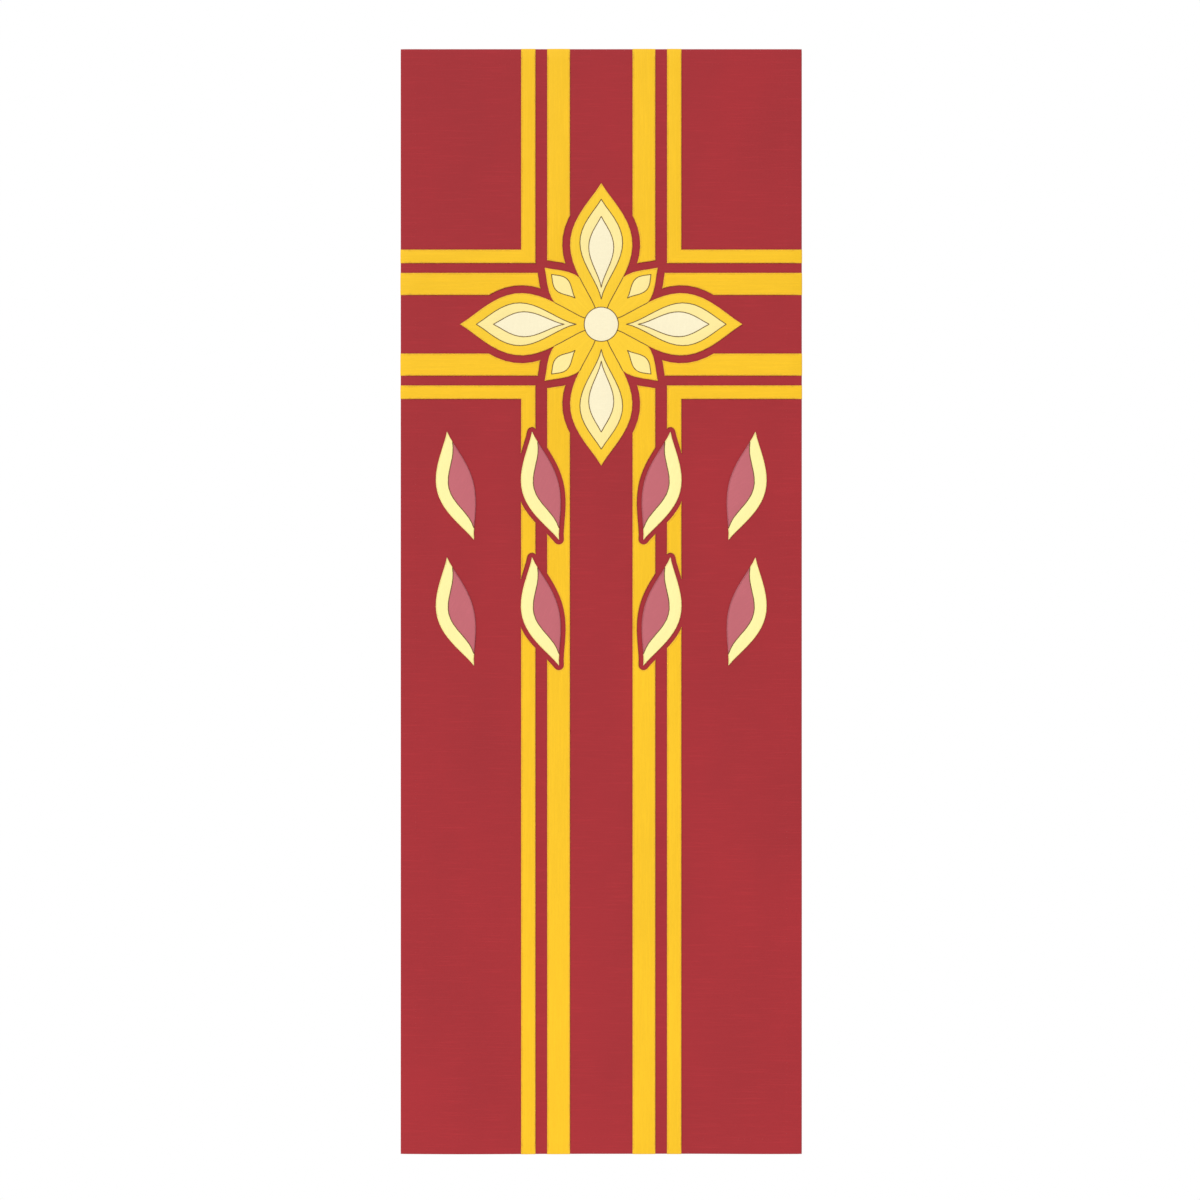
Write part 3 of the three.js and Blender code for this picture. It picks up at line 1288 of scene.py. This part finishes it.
@dataclass
class Sewing:
    """One thread's stitches, which become one piece.

    Attributes:
        name: The piece's name.
        material: The thread's material.
        hanging: How the cloth hangs.
        slot: The finish's slot in the record, or nothing for a thread with none.
        seed: The seed of the stitches' small differences.
        rings: How many rings each stitch's mesh has.
        rows: The stitches laid so far.
        MARGIN: How much of a stitch's cell in the map is left free on each side, as a share.
    """

    name: str
    material: bpy.types.Material
    hanging: Hanging
    slot: Slot | None
    seed: int
    rings: int = 2
    rows: list[np.ndarray] = field(default_factory=list)

    MARGIN = 0.04

    def __post_init__(self) -> None:
        """Starts the thread's own mesh and its own run of chances."""
        self.spindle = Spindle(self.rings)
        self.dice = np.random.default_rng(self.seed)

    def add(self, stitch: Stitch, line: Line, share: np.ndarray | float = 1.0) -> None:
        """Lays a row of stitches along a line, with a share of their inner reach."""
        if len(line.points):
            self.rows.append(stitch.laid(line, self.spindle, self.dice, share))

    def charted(self, count: int) -> np.ndarray:
        """Draws a map that gives each stitch a cell of its own.

        Args:
            count: How many stitches there are.

        Returns:
            Every face corner's place in the map.
        """
        wide = math.ceil(math.sqrt(count))
        cell = np.arange(count)
        corner = np.column_stack([cell % wide, cell // wide])[:, None, :]
        inset = self.MARGIN + (1 - 2 * self.MARGIN) * self.spindle.chart[None, :, :]
        return (corner + inset) / wide

    def build(self) -> bpy.types.Object:
        """Joins the stitches into one piece.

        Returns:
            The piece, riding on the banner.
        """
        places = self.hanging.placed(np.concatenate(self.rows))
        spindle, count = self.spindle, len(places)
        loops = (spindle.corners + len(spindle.section) * np.arange(count)[:, None]).ravel()
        starts = (spindle.starts + len(spindle.corners) * np.arange(count)[:, None]).ravel()
        mesh = bpy.data.meshes.new(self.name)
        mesh.vertices.add(count * len(spindle.section))
        mesh.vertices.foreach_set("co", places.astype(np.float32).ravel())
        mesh.loops.add(len(loops))
        mesh.loops.foreach_set("vertex_index", loops.astype(np.int32))
        mesh.polygons.add(len(starts))
        mesh.polygons.foreach_set("loop_start", starts.astype(np.int32))
        mesh.update(calc_edges=True)
        chart = mesh.uv_layers.new(name=BAKE_MAP)
        chart.data.foreach_set("uv", self.charted(count).astype(np.float32).ravel())
        mesh.shade_smooth()
        mesh.materials.append(self.material)
        made = added(self.name, mesh)
        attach(made, ROOT)
        return made


@dataclass(frozen=True)
class ThreadPair:
    """One thread's stitches on the front, and the short ends of them that show on the back.

    Attributes:
        front: The piece on the front.
        back: The piece on the back.
    """

    front: Sewing
    back: Sewing

    def build(self) -> list[bpy.types.Object]:
        """Returns both pieces."""
        return [self.front.build(), self.back.build()]


@dataclass(frozen=True)
class Stripe:
    """Where one kind of band lies, measured from the middle of the cross.

    Attributes:
        near: Where its shaft starts to the side of the middle.
        far: Where its shaft ends.
        low: Where its arm starts above or below the middle.
        high: Where its arm ends.
    """

    near: float
    far: float
    low: float
    high: float


@dataclass
class Cross:
    """The cross of gold bands, cut from strips that are mitred at the crossing.

    Attributes:
        pattern: The cut edges of the pieces.
        crossing: The height of the cross's middle.
        stripes: The kinds of band.
        tuck: How far the cloth's edges lie inside the band's, under the stitches.
        slack: How far outside a band's box the mitre's corner may lie and still be its own.
    """

    pattern: Pattern
    crossing: float = -418.5 * MM
    stripes: dict[str, Stripe] = field(
        default_factory=lambda: {
            "narrow": Stripe(near=99.8 * MM, far=122 * MM, low=92.8 * MM, high=113.7 * MM),
            "wide": Stripe(near=47.4 * MM, far=82.4 * MM, low=44.3 * MM, high=78.3 * MM),
        }
    )
    tuck: float = 0.57 * MM
    slack: float = 0.5 * MM

    def nodes(self) -> list[str]:
        """Returns the names of the bands' solids."""
        return sorted(n for n in self.pattern.runs if n.startswith(("narrow_band", "wide_band")))

    def grain(self, stripe: Stripe) -> Callable[[np.ndarray], np.ndarray]:
        """Lays the warp of a kind of band, which follows the strip round its mitre.

        Args:
            stripe: The kind of band.

        Returns:
            A function that returns the direction of the warp at points on a band.
        """

        def lies(points: np.ndarray) -> np.ndarray:
            """Lays the warp at points on a band.

            Args:
                points: The points, as x and z.

            Returns:
                A right angle at points on the arm, and nothing on the shaft.
            """
            out = (np.abs(points[:, 0]) - stripe.near) / (stripe.far - stripe.near)
            up = (np.abs(points[:, 1] - self.crossing) - stripe.low) / (stripe.high - stripe.low)
            return np.where(out > up, math.pi / 2, 0.0)

        return lies

    def mitre(self, node: str, stripe: Stripe) -> tuple[Vector, Vector] | None:
        """Finds the plane of a band's mitre.

        Args:
            node: The band's solid.
            stripe: The kind of band.

        Returns:
            A point on the plane and its normal, or nothing for a band that has no corner.
        """
        low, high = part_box(node)
        side = 1 if low.x + high.x > 0 else -1
        rise = 1 if low.z + high.z > 2 * self.crossing else -1
        corner = Vector((side * stripe.near, 0, self.crossing + rise * stripe.low))
        if not all(low[k] - self.slack <= corner[k] <= high[k] + self.slack for k in (0, 2)):
            return None
        run = Vector((side * (stripe.far - stripe.near), 0, rise * (stripe.high - stripe.low)))
        return corner, Vector((run.z, 0, -run.x)).normalized()

    def build(self, material: bpy.types.Material) -> list[bpy.types.Object]:
        """Makes the bands.

        Args:
            material: The gold cloth's material.

        Returns:
            The bands' pieces.
        """
        made = []
        for node in self.nodes():
            stripe = self.stripes[node.split("_")[0]]
            strip = stripe.far - stripe.near - 2 * self.tuck
            seam = self.mitre(node, stripe)
            band = Applique(node, Slot.BAND, self.grain(stripe), strip, seam=seam, tuck=self.tuck)
            made.append(band.build(self.pattern, material))
        return made


@dataclass
class Rosette:
    """The rosette of long and short petals round a cream centre.

    Attributes:
        pattern: The cut edges of the pieces.
        crossing: The height of its middle.
        flats: The width and length of each layer's flat cut, by the kind of petal and the layer.
        slots: The finish of each layer.
        cell: The distance between the cuts that let a petal bend.
        centre_cell: The same for the centre.
    """

    pattern: Pattern
    crossing: float
    flats: dict[str, tuple[float, float]] = field(
        default_factory=lambda: {
            "long_border": (94 * MM, 189 * MM),
            "long_middle": (65 * MM, 152 * MM),
            "long_heart": (38 * MM, 108 * MM),
            "short_border": (54 * MM, 107 * MM),
            "short_middle": (24 * MM, 51 * MM),
        }
    )
    slots: dict[str, Slot] = field(
        default_factory=lambda: {"border": Slot.PETAL, "middle": Slot.PALE, "heart": Slot.CREAM}
    )
    cell: float = 5 * MM
    centre_cell: float = 4 * MM

    def nodes(self, layer: str) -> list[str]:
        """Returns the names of a layer's solids, those of long petals first."""
        return sorted(n for n in self.pattern.runs if "petal" in n and n.endswith(layer))

    def axis(self, node: str) -> float:
        """Measures how far a petal leans from upright, as the warp of its cloth does.

        Args:
            node: The petal's solid.

        Returns:
            The angle, in radians.
        """
        low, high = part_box(node)
        middle = (low + high) / 2
        return math.atan2(middle.z - self.crossing, middle.x) - math.pi / 2

    def build(self, materials: dict[Slot, bpy.types.Material]) -> list[bpy.types.Object]:
        """Makes the petals' layers and the centre.

        Args:
            materials: The cloth of each slot.

        Returns:
            The rosette's pieces.
        """
        made = []
        for layer, slot in self.slots.items():
            for node in self.nodes(layer):
                flat = self.flats[node.split("_")[0] + "_" + layer]
                petal = Applique(node, slot, leaning(self.axis(node)), *flat, cell=self.cell)
                made.append(petal.build(self.pattern, materials[slot]))
        across = 2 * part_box(CENTRE)[1].x
        centre = Applique(CENTRE, Slot.CREAM, upright, across, across, cell=self.centre_cell)
        made.append(centre.build(self.pattern, materials[Slot.CREAM]))
        return made


@dataclass
class Leaves:
    """Two rows of leaves, each cut in a pale crescent and a rose blade.

    Attributes:
        pattern: The cut edges of the pieces.
        tilt: How far a leaf leans outwards.
        crescent: The width and length of a crescent's flat cut.
        blade: The width and length of a blade's flat cut.
        cell: The distance between the cuts that let a leaf bend.
    """

    pattern: Pattern
    tilt: float = math.radians(14)
    crescent: tuple[float, float] = (46 * MM, 168 * MM)
    blade: tuple[float, float] = (38 * MM, 135 * MM)
    cell: float = 5 * MM

    def nodes(self, part: str) -> list[str]:
        """Returns the names of the solids of one part of the leaves."""
        return sorted(n for n in self.pattern.runs if n.startswith("leaf") and n.endswith(part))

    def build(self, materials: dict[Slot, bpy.types.Material]) -> list[bpy.types.Object]:
        """Makes the crescents and the blades.

        Args:
            materials: The cloth of each slot.

        Returns:
            The leaves' pieces.
        """
        parts = (("crescent", Slot.STRAW, self.crescent), ("blade", Slot.ROSE, self.blade))
        made = []
        for part, slot, flat in parts:
            for node in self.nodes(part):
                side = 1 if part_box(node)[0].x > 0 else -1
                piece = Applique(node, slot, leaning(-side * self.tilt), *flat, cell=self.cell)
                made.append(piece.build(self.pattern, materials[slot]))
        return made


@dataclass
class Embroidery:
    """The satin edges, the brown lines, and the same rows seen on the back.

    Attributes:
        pattern: The cut edges of the pieces.
        cross: The gold bands.
        rosette: The petals.
        leaves: The leaves.
        threads: The thread of each slot, and the brown thread for None.
        shoulder: How far from its inner end a satin stitch has its full height.
        brink: How far inside the cut edge it starts to come down.
        slide: How far past the edge it is halfway down.
        landing: How far past the edge it ends on the ground.
        line_reach: How far a brown line's stitches reach to each side.
        joined: How close two pieces' edges lie where they share a row.
        collar: How near the rosette's centre two petals may lie further apart and still share a row.
        parted: How far apart they may lie there.
        hem_margin: How far from the hem the rows on the back end.
    """

    pattern: Pattern
    cross: Cross
    rosette: Rosette
    leaves: Leaves
    threads: dict[Slot | None, bpy.types.Material]
    shoulder: float = 0.45 * MM
    brink: float = 0.08 * MM
    slide: float = 0.38 * MM
    landing: float = 0.72 * MM
    line_reach: float = 0.95 * MM
    joined: float = 1.0 * MM
    collar: float = 8.0 * MM
    parted: float = 1.6 * MM
    hem_margin: float = 1.5 * MM

    @property
    def top(self) -> float:
        """The height of the sewn-on cloth's face."""
        return self.pattern.hanging.height(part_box(CENTRE)[0].y)

    def edging(self, pitch: float, inner: float, tuck: float = 0.0) -> Stitch:
        """Shapes a satin stitch that binds a cut edge to the ground.

        Args:
            pitch: The distance between two stitches.
            inner: How far it reaches in over the cloth.
            tuck: How far the cloth's edge lies inside the line that the stitches follow.

        Returns:
            The stitch.
        """
        face = self.pattern.hanging.face
        sections = (
            (-inner, self.top),
            (self.shoulder - inner, self.top),
            (-self.brink, self.top),
            (self.slide, (self.top + face) / 2),
            (self.landing, face),
        )
        return Stitch(pitch, tuple((past - tuck, height) for past, height in sections))

    def lining(self) -> Stitch:
        """Returns a narrow satin stitch that covers the join of two pieces."""
        profile = level(self.line_reach, self.line_reach, self.top)
        return Stitch(pitch=0.95 * MM, profile=profile, loft=0.5 * MM)

    def backing(self, inner: float = 0.9 * MM, outer: float = 0.9 * MM) -> Stitch:
        """Returns the stitch that a row shows on the back."""
        profile = level(inner, outer, self.pattern.hanging.face)
        return Stitch(pitch=2.0 * MM, profile=profile, width=1.25 * MM, loft=0.4 * MM, behind=True)

    def clear_of_hem(self, line: Line) -> Line:
        """Leaves out what the hem hides from behind.

        Args:
            line: The places of a row.

        Returns:
            The places that aren't hidden.
        """
        hang = self.pattern.hanging
        margin = hang.hem + self.hem_margin
        x, z = line.points[:, 0], line.points[:, 1]
        inside = (np.abs(x) < hang.high.x - margin) & (z < hang.high.z - margin) & (z > hang.low.z + margin)
        return line.kept(inside)

    def shares_row(self, points: np.ndarray, neighbours: Sequence[str]) -> np.ndarray:
        """Says where a row holds the edges of two pieces.

        Args:
            points: Places on the edge of one piece, as x and z.
            neighbours: The other pieces that it may meet.

        Returns:
            True for each place where it does.
        """
        gap = self.pattern.apart(points, neighbours)
        centre = self.pattern.apart(points, [CENTRE])
        return (gap < self.joined) | (centre < self.joined) | (centre < self.collar) & (gap < self.parted)

    def rows(
        self, pair: ThreadPair, nodes: Sequence[str], stitch: Stitch, behind: Stitch
    ) -> Iterator[tuple[str, Sewing, Stitch, Line]]:
        """Goes round the outer edges of some pieces, on the front and on the back.

        Args:
            pair: The thread's two pieces.
            nodes: The pieces that are sewn.
            stitch: The stitch on the front.
            behind: The stitch on the back.

        Yields:
            The piece that is sewn, the thread's piece, its stitch and the stitch's places.
        """
        for node in nodes:
            for run in self.pattern.runs[node]:
                if not run.is_hole:
                    yield node, pair.front, stitch, run.spaced(stitch.pitch)
                    yield node, pair.back, behind, run.spaced(behind.pitch)

    def bind(
        self, pair: ThreadPair, nodes: Sequence[str], stitch: Stitch, others: Sequence[str] = ()
    ) -> None:
        """Binds the edges of some pieces, but for where they meet others.

        Args:
            pair: The thread's two pieces.
            nodes: The pieces that are sewn.
            stitch: The stitch on the front.
            others: The pieces that they may meet, where one that meets itself is left out.
        """
        behind = self.backing(inner=1.6 * MM, outer=0.5 * MM)
        for node, sewing, laid, line in self.rows(pair, nodes, stitch, behind):
            neighbours = [other for other in others if other != node]
            line = line.kept(~self.shares_row(line.points, neighbours))
            if laid.behind:
                line = self.clear_of_hem(line)
            sewing.add(laid, line, self.pattern.room(line, node, -laid.profile[0][0]))

    def outline(self, pair: ThreadPair, nodes: Sequence[str]) -> None:
        """Lays a line over the whole outer edge of some pieces, where they meet what they lie in."""
        for _, sewing, laid, line in self.rows(pair, nodes, self.lining(), self.backing()):
            sewing.add(laid, line)

    def join(self, pair: ThreadPair, nodes: Sequence[str], others: Sequence[str]) -> None:
        """Lays a line midway between the edges of pieces that meet, with a shorter stitch at each end.

        Args:
            pair: The thread's two pieces.
            nodes: The pieces whose edges are followed.
            others: The pieces that they may meet, where one that meets itself is left out.
        """
        for node, sewing, laid, line in self.rows(pair, nodes, self.lining(), self.backing()):
            neighbours = [other for other in others if other != node]
            gap = self.pattern.apart(line.points, neighbours)
            centre = self.pattern.apart(line.points, [CENTRE])
            midway = Line(line.points + line.outward * gap[:, None] / 2, line.outward)
            shared = self.shares_row(line.points, neighbours) & (centre > self.joined)
            last = shared & ~(np.roll(shared, 1) & np.roll(shared, -1))
            sewing.add(laid, midway.kept(shared & ~last))
            sewing.add(laid.halved(), midway.kept(last))

    def pair(
        self, name: str, slot: Slot | None, seeds: tuple[int, int], rings: int = 3, side: str = ""
    ) -> ThreadPair:
        """Starts a thread.

        Args:
            name: The name of its pieces.
            slot: The thread's slot, or nothing for the brown thread.
            seeds: The seeds of the stitches' small differences, on the front and on the back.
            rings: How many rings the mesh of a stitch on the front has.
            side: What both names end in.

        Returns:
            The thread's two pieces, without stitches.
        """
        hanging, material = self.pattern.hanging, self.threads[slot]
        front = Sewing(name + side, material, hanging, slot, seeds[0], rings)
        back = Sewing(name + "_back" + side, material, hanging, slot, seeds[1])
        return ThreadPair(front, back)

    def band_edges(self) -> list[ThreadPair]:
        """Binds the gold bands.

        Returns:
            A thread for the bands on the left and one for those on the right.
        """
        stitch = self.edging(pitch=1.05 * MM, inner=2.6 * MM, tuck=self.cross.tuck)
        pairs = []
        for count, side in enumerate(("left", "right")):
            pair = self.pair("band_edging", Slot.BAND, (11 + count, 21 + count), side="_" + side)
            self.bind(pair, [node for node in self.cross.nodes() if side in node], stitch)
            pairs.append(pair)
        return pairs

    def petal_edges(self) -> ThreadPair:
        """Binds the petals' borders.

        Returns:
            The gold thread.
        """
        pair = self.pair("petal_edging", Slot.PETAL, (31, 32))
        borders = self.rosette.nodes("border")
        self.bind(pair, borders, self.edging(pitch=1.0 * MM, inner=2.3 * MM), borders)
        return pair

    def petal_lines(self) -> ThreadPair:
        """Outlines the petals' inner layers and the centre, and joins the petals.

        Returns:
            The brown thread.
        """
        pair = self.pair("petal_lines", None, (33, 34), rings=2)
        self.outline(pair, [*self.rosette.nodes("middle"), *self.rosette.nodes("heart"), CENTRE])
        borders = self.rosette.nodes("border")
        self.join(pair, [node for node in borders if node.startswith("long")], borders)
        return pair

    def leaf_edges(self) -> list[ThreadPair]:
        """Binds the leaves, but for the seam between crescent and blade.

        Returns:
            The straw thread and the rose thread.
        """
        straw = self.pair("leaf_edging_straw", Slot.STRAW, (41, 42))
        rose = self.pair("leaf_edging_rose", Slot.ROSE, (43, 44))
        crescents, blades = self.leaves.nodes("crescent"), self.leaves.nodes("blade")
        stitch = self.edging(pitch=1.0 * MM, inner=1.7 * MM)
        self.bind(straw, crescents, stitch, blades)
        self.bind(rose, blades, stitch, crescents)
        return [straw, rose]

    def leaf_seams(self) -> ThreadPair:
        """Joins the crescents and the blades.

        Returns:
            The brown thread.
        """
        pair = self.pair("leaf_seams", None, (45, 46), rings=2)
        self.join(pair, self.leaves.nodes("crescent"), self.leaves.nodes("blade"))
        return pair

    def build(self) -> list[bpy.types.Object]:
        """Sews every piece of cloth down.

        Returns:
            The stitching's pieces.
        """
        sewn = [*self.band_edges(), self.petal_edges(), self.petal_lines()]
        sewn += [*self.leaf_edges(), self.leaf_seams()]
        return [piece for pair in sewn for piece in pair.build()]


@dataclass
class HemStitches:
    """The stitches that hold the hem down and close its mitred corners.

    Attributes:
        pattern: The cut edges of the pieces.
        cross: The gold bands, which hide what lies under them.
        prick_inset: How far inside the banner's edge the pricks on the front lie.
        band_margin: How far from a band's edge they stay.
        overlap: How far inside the raw edge the slip stitches' line lies.
        slant: How far the slip stitches lean.
        mitre_ends: How far from the corner, and from the hem's inner edge, a mitre's stitches stay.
    """

    pattern: Pattern
    cross: Cross
    prick_inset: float = 23 * MM
    band_margin: float = 3 * MM
    overlap: float = 0.2 * MM
    slant: float = math.radians(32)
    mitre_ends: tuple[float, float] = (2.5 * MM, 1.5 * MM)

    def frame_run(self, inset: float) -> Run:
        """Draws a rectangle.

        Args:
            inset: How far inside the banner's edge it lies.

        Returns:
            The rectangle.
        """
        low, high = self.pattern.hanging.low, self.pattern.hanging.high
        left, right, foot, head = low.x + inset, high.x - inset, low.z + inset, high.z - inset
        return Run(np.array([(left, foot), (right, foot), (right, head), (left, head)]), True)

    def clear_of_bands(self, line: Line) -> Line:
        """Leaves out what the bands cover.

        Args:
            line: The places of a row.

        Returns:
            The places that no band covers.
        """
        hidden = self.pattern.apart(line.points, self.cross.nodes()) < self.band_margin
        x = np.abs(line.points[:, 0])
        drop = np.abs(line.points[:, 1] - self.cross.crossing)
        for stripe in self.cross.stripes.values():
            hidden |= (x > stripe.near) & (x < stripe.far) | (drop > stripe.low) & (drop < stripe.high)
        return line.kept(~hidden)

    def prick(self, thread: Sewing) -> None:
        """Lays small pricks on the front.

        Args:
            thread: The crimson thread.
        """
        profile = level(0.7 * MM, 0.7 * MM, self.pattern.hanging.face)
        stitch = Stitch(pitch=9 * MM, profile=profile, width=0.5 * MM, loft=0.18 * MM)
        thread.add(stitch, self.clear_of_bands(self.frame_run(self.prick_inset).spaced(stitch.pitch)))

    def slip(self, thread: Sewing) -> None:
        """Lays slanted stitches over the raw edge on the back.

        Args:
            thread: The crimson thread.
        """
        hang = self.pattern.hanging
        folded = hang.hem_back
        slope = ((-2.4 * MM, folded), (-1.9 * MM, folded), (-0.1 * MM, folded), (2.6 * MM, hang.face))
        stitch = Stitch(pitch=6 * MM, profile=slope, width=1.0 * MM, loft=0.5 * MM, behind=True)
        line = self.frame_run(hang.hem - self.overlap).spaced(stitch.pitch)
        c, s = math.cos(self.slant), math.sin(self.slant)
        turned = line.outward @ np.array([[c, s], [-s, c]])
        thread.add(stitch, Line(line.points, -turned))

    def whip(self, thread: Sewing) -> None:
        """Closes the mitred corners on the back.

        Args:
            thread: The crimson thread.
        """
        hang = self.pattern.hanging
        profile = level(1.1 * MM, 1.1 * MM, hang.hem_back)
        stitch = Stitch(pitch=3 * MM, profile=profile, width=0.9 * MM, loft=0.4 * MM, behind=True)
        start, end = self.mitre_ends
        for x, across in ((hang.low.x, 1), (hang.high.x, -1)):
            for z, up in ((hang.low.z, 1), (hang.high.z, -1)):
                corner, step = np.array([x, z]), np.array([across, up])
                seam = np.array([corner + step * start, corner + step * (hang.hem - end)])
                thread.add(stitch, Run(seam, False).spaced(stitch.pitch))

    def build(self, material: bpy.types.Material) -> bpy.types.Object:
        """Sews the hem.

        Args:
            material: The crimson thread's material.

        Returns:
            The stitches' piece.
        """
        thread = Sewing("hem_stitches", material, self.pattern.hanging, Slot.GROUND, seed=51)
        self.prick(thread)
        self.slip(thread)
        self.whip(thread)
        return thread.build()


@dataclass(frozen=True)
class Sun:
    """A soft sun.

    Attributes:
        name: The light's name.
        way: The direction in which it shines.
        strength: How strong it is.
        size: How wide it looks, in degrees.
    """

    name: str
    way: tuple[float, float, float]
    strength: float
    size: float

    def shine(self) -> None:
        """Adds the sun to the scene."""
        data = bpy.data.lights.new(self.name, "SUN")
        data.energy = self.strength
        data.angle = math.radians(self.size)
        lamp = added(self.name, data)
        lamp.rotation_euler = Vector(self.way).to_track_quat("-Z", "Y").to_euler()


@dataclass(frozen=True)
class Studio:
    """The pale floor, the soft light and the camera.

    Attributes:
        lens: The camera's lens, in millimetres.
        camera: Where the camera stands, looking straight at the banner.
        floor: The floor's middle.
        floor_radius: The floor's radius.
        floor_colour: The floor's display colour.
        sky: How bright the surroundings are as light.
        suns: The sun from the upper left, and a weaker one behind the banner.
    """

    lens: float = 85.0
    camera: tuple[float, float, float] = (-1.9 * MM, -4.308, -0.8376)
    floor: tuple[float, float, float] = (0.0, -1.2, -1.93)
    floor_radius: float = 2.0
    floor_colour: Colour = (240, 239, 236)
    sky: float = 0.66
    suns: tuple[Sun, ...] = (
        Sun("key", (0.62, 1.0, -0.78), 1.55, 24),
        Sun("fill", (-0.4, -1.0, -0.5), 0.5, 30),
    )

    def stand_floor(self) -> None:
        """Lays a round, pale floor under the banner."""
        bm = bmesh.new()
        bmesh.ops.create_circle(
            bm, cap_ends=True, segments=96, radius=self.floor_radius, matrix=Matrix.Translation(self.floor)
        )
        material = bpy.data.materials.new("floor_paint")
        graph = Graph(material)
        place = graph.node("TexCoord", {}).outputs["Object"]
        worn = graph.varied(graph.speckle(place, (3, 3, 3), 3.0), 0.65, 0.05)
        graph.dress({"Base Color": linear(self.floor_colour), "Roughness": worn})
        finished(bm, "floor", material)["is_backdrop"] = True

    def light(self) -> None:
        """Lights the banner with a white surrounding, which the camera sees brighter, and the suns."""
        world = bpy.data.worlds.new("studio")
        graph = Graph(world)
        graph.tree.nodes.clear()
        white = (1, 1, 1, 1)
        around, seen = (
            graph.node("Background", {"Color": white, "Strength": strength}).outputs[0]
            for strength in (self.sky, 1.0)
        )
        to_camera = graph.node("LightPath", {}).outputs["Is Camera Ray"]
        mixed = graph.node("MixShader", {0: to_camera, 1: around, 2: seen}).outputs[0]
        graph.node("OutputWorld", {"Surface": mixed})
        bpy.context.scene.world = world
        for sun in self.suns:
            sun.shine()

    def stand_camera(self) -> None:
        """Points the camera straight at the banner, as the picture shows it."""
        data = bpy.data.cameras.new("camera")
        data.lens = self.lens
        eye = added("camera", data)
        eye.location = self.camera
        eye.rotation_euler = (math.pi / 2, 0, 0)
        bpy.context.scene.camera = eye
        bpy.context.scene.view_settings.view_transform = "Standard"


def satin(name: str, colour: Colour, roughness: float, mottle: float, slub: float) -> ClothFinish:
    """Returns the finish of a satin."""
    return ClothFinish(name, colour, Weave.SATIN, roughness, gloss=0.25, mottle=mottle, slub=slub)


CLOTHS = {
    Slot.GROUND: ClothFinish(
        "crimson_dupion",
        (166, 43, 50),
        Weave.SLUBBED,
        roughness=0.62,
        gloss=0.2,
        mottle=0.05,
        slub=0.1,
        sheen=0.08,
    ),
    Slot.BAND: satin("band_satin", (244, 193, 28), roughness=0.5, mottle=0.03, slub=0.05),
    Slot.PETAL: satin("petal_satin", (246, 201, 44), roughness=0.5, mottle=0.03, slub=0.05),
    Slot.PALE: satin("pale_satin", (250, 231, 154), roughness=0.52, mottle=0.02, slub=0.03),
    Slot.CREAM: ClothFinish(
        "cream_linen", (252, 242, 206), Weave.PLAIN, roughness=0.66, gloss=0.2, mottle=0.02, slub=0.03
    ),
    Slot.STRAW: satin("straw_satin", (252, 240, 164), roughness=0.52, mottle=0.02, slub=0.03),
    Slot.ROSE: ClothFinish(
        "rose_twill",
        (192, 103, 112),
        Weave.TWILL,
        roughness=0.62,
        gloss=0.2,
        mottle=0.03,
        slub=0.05,
        sheen=0.08,
    ),
}
THREADS = {
    Slot.GROUND: ThreadFinish("crimson_thread", (184, 60, 66)),
    Slot.BAND: ThreadFinish("band_thread", (245, 194, 34)),
    Slot.PETAL: ThreadFinish("petal_thread", (249, 203, 50)),
    None: ThreadFinish("brown_thread", (122, 90, 42)),
    Slot.STRAW: ThreadFinish("straw_thread", (254, 240, 160)),
    Slot.ROSE: ThreadFinish("rose_thread", (186, 98, 108)),
}


def write_sizes() -> None:
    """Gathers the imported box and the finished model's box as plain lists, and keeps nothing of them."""
    boxes = {"cad": CAD_BOX, "visual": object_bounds()}
    {name: [list(low), list(high)] for name, (low, high) in boxes.items()}


def report(pieces: Sequence[bpy.types.Object]) -> None:
    """Logs each piece's name and how many faces it has."""
    for piece in pieces:
        LOG.info("%s: %d faces", piece.name, len(piece.data.polygons))


def main() -> None:
    """Builds the banner, its stitching and the studio round it."""
    logging.basicConfig(level=logging.INFO, format="%(name)s: %(message)s")
    studio = Studio()
    studio.stand_camera()
    studio.light()
    studio.stand_floor()
    hanging = Hanging(*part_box(GROUND))
    pattern = Pattern(hanging)
    cloths = {slot: finish.build() for slot, finish in CLOTHS.items()}
    threads = {slot: finish.build() for slot, finish in THREADS.items()}
    ground = GroundCloth(hanging)
    panel = ground.build(pattern, cloths[Slot.GROUND])
    report([panel])
    cross = Cross(pattern)
    report(cross.build(cloths[Slot.BAND]))
    rosette = Rosette(pattern, cross.crossing)
    report(rosette.build(cloths))
    leaves = Leaves(pattern)
    report(leaves.build(cloths))
    sewing = Embroidery(pattern, cross, rosette, leaves, threads).build()
    sewing.append(HemStitches(pattern, cross).build(threads[Slot.GROUND]))
    report(sewing)
    ground.declare(panel, sewing)
    write_sizes()


if __name__ == "__main__":
    main()
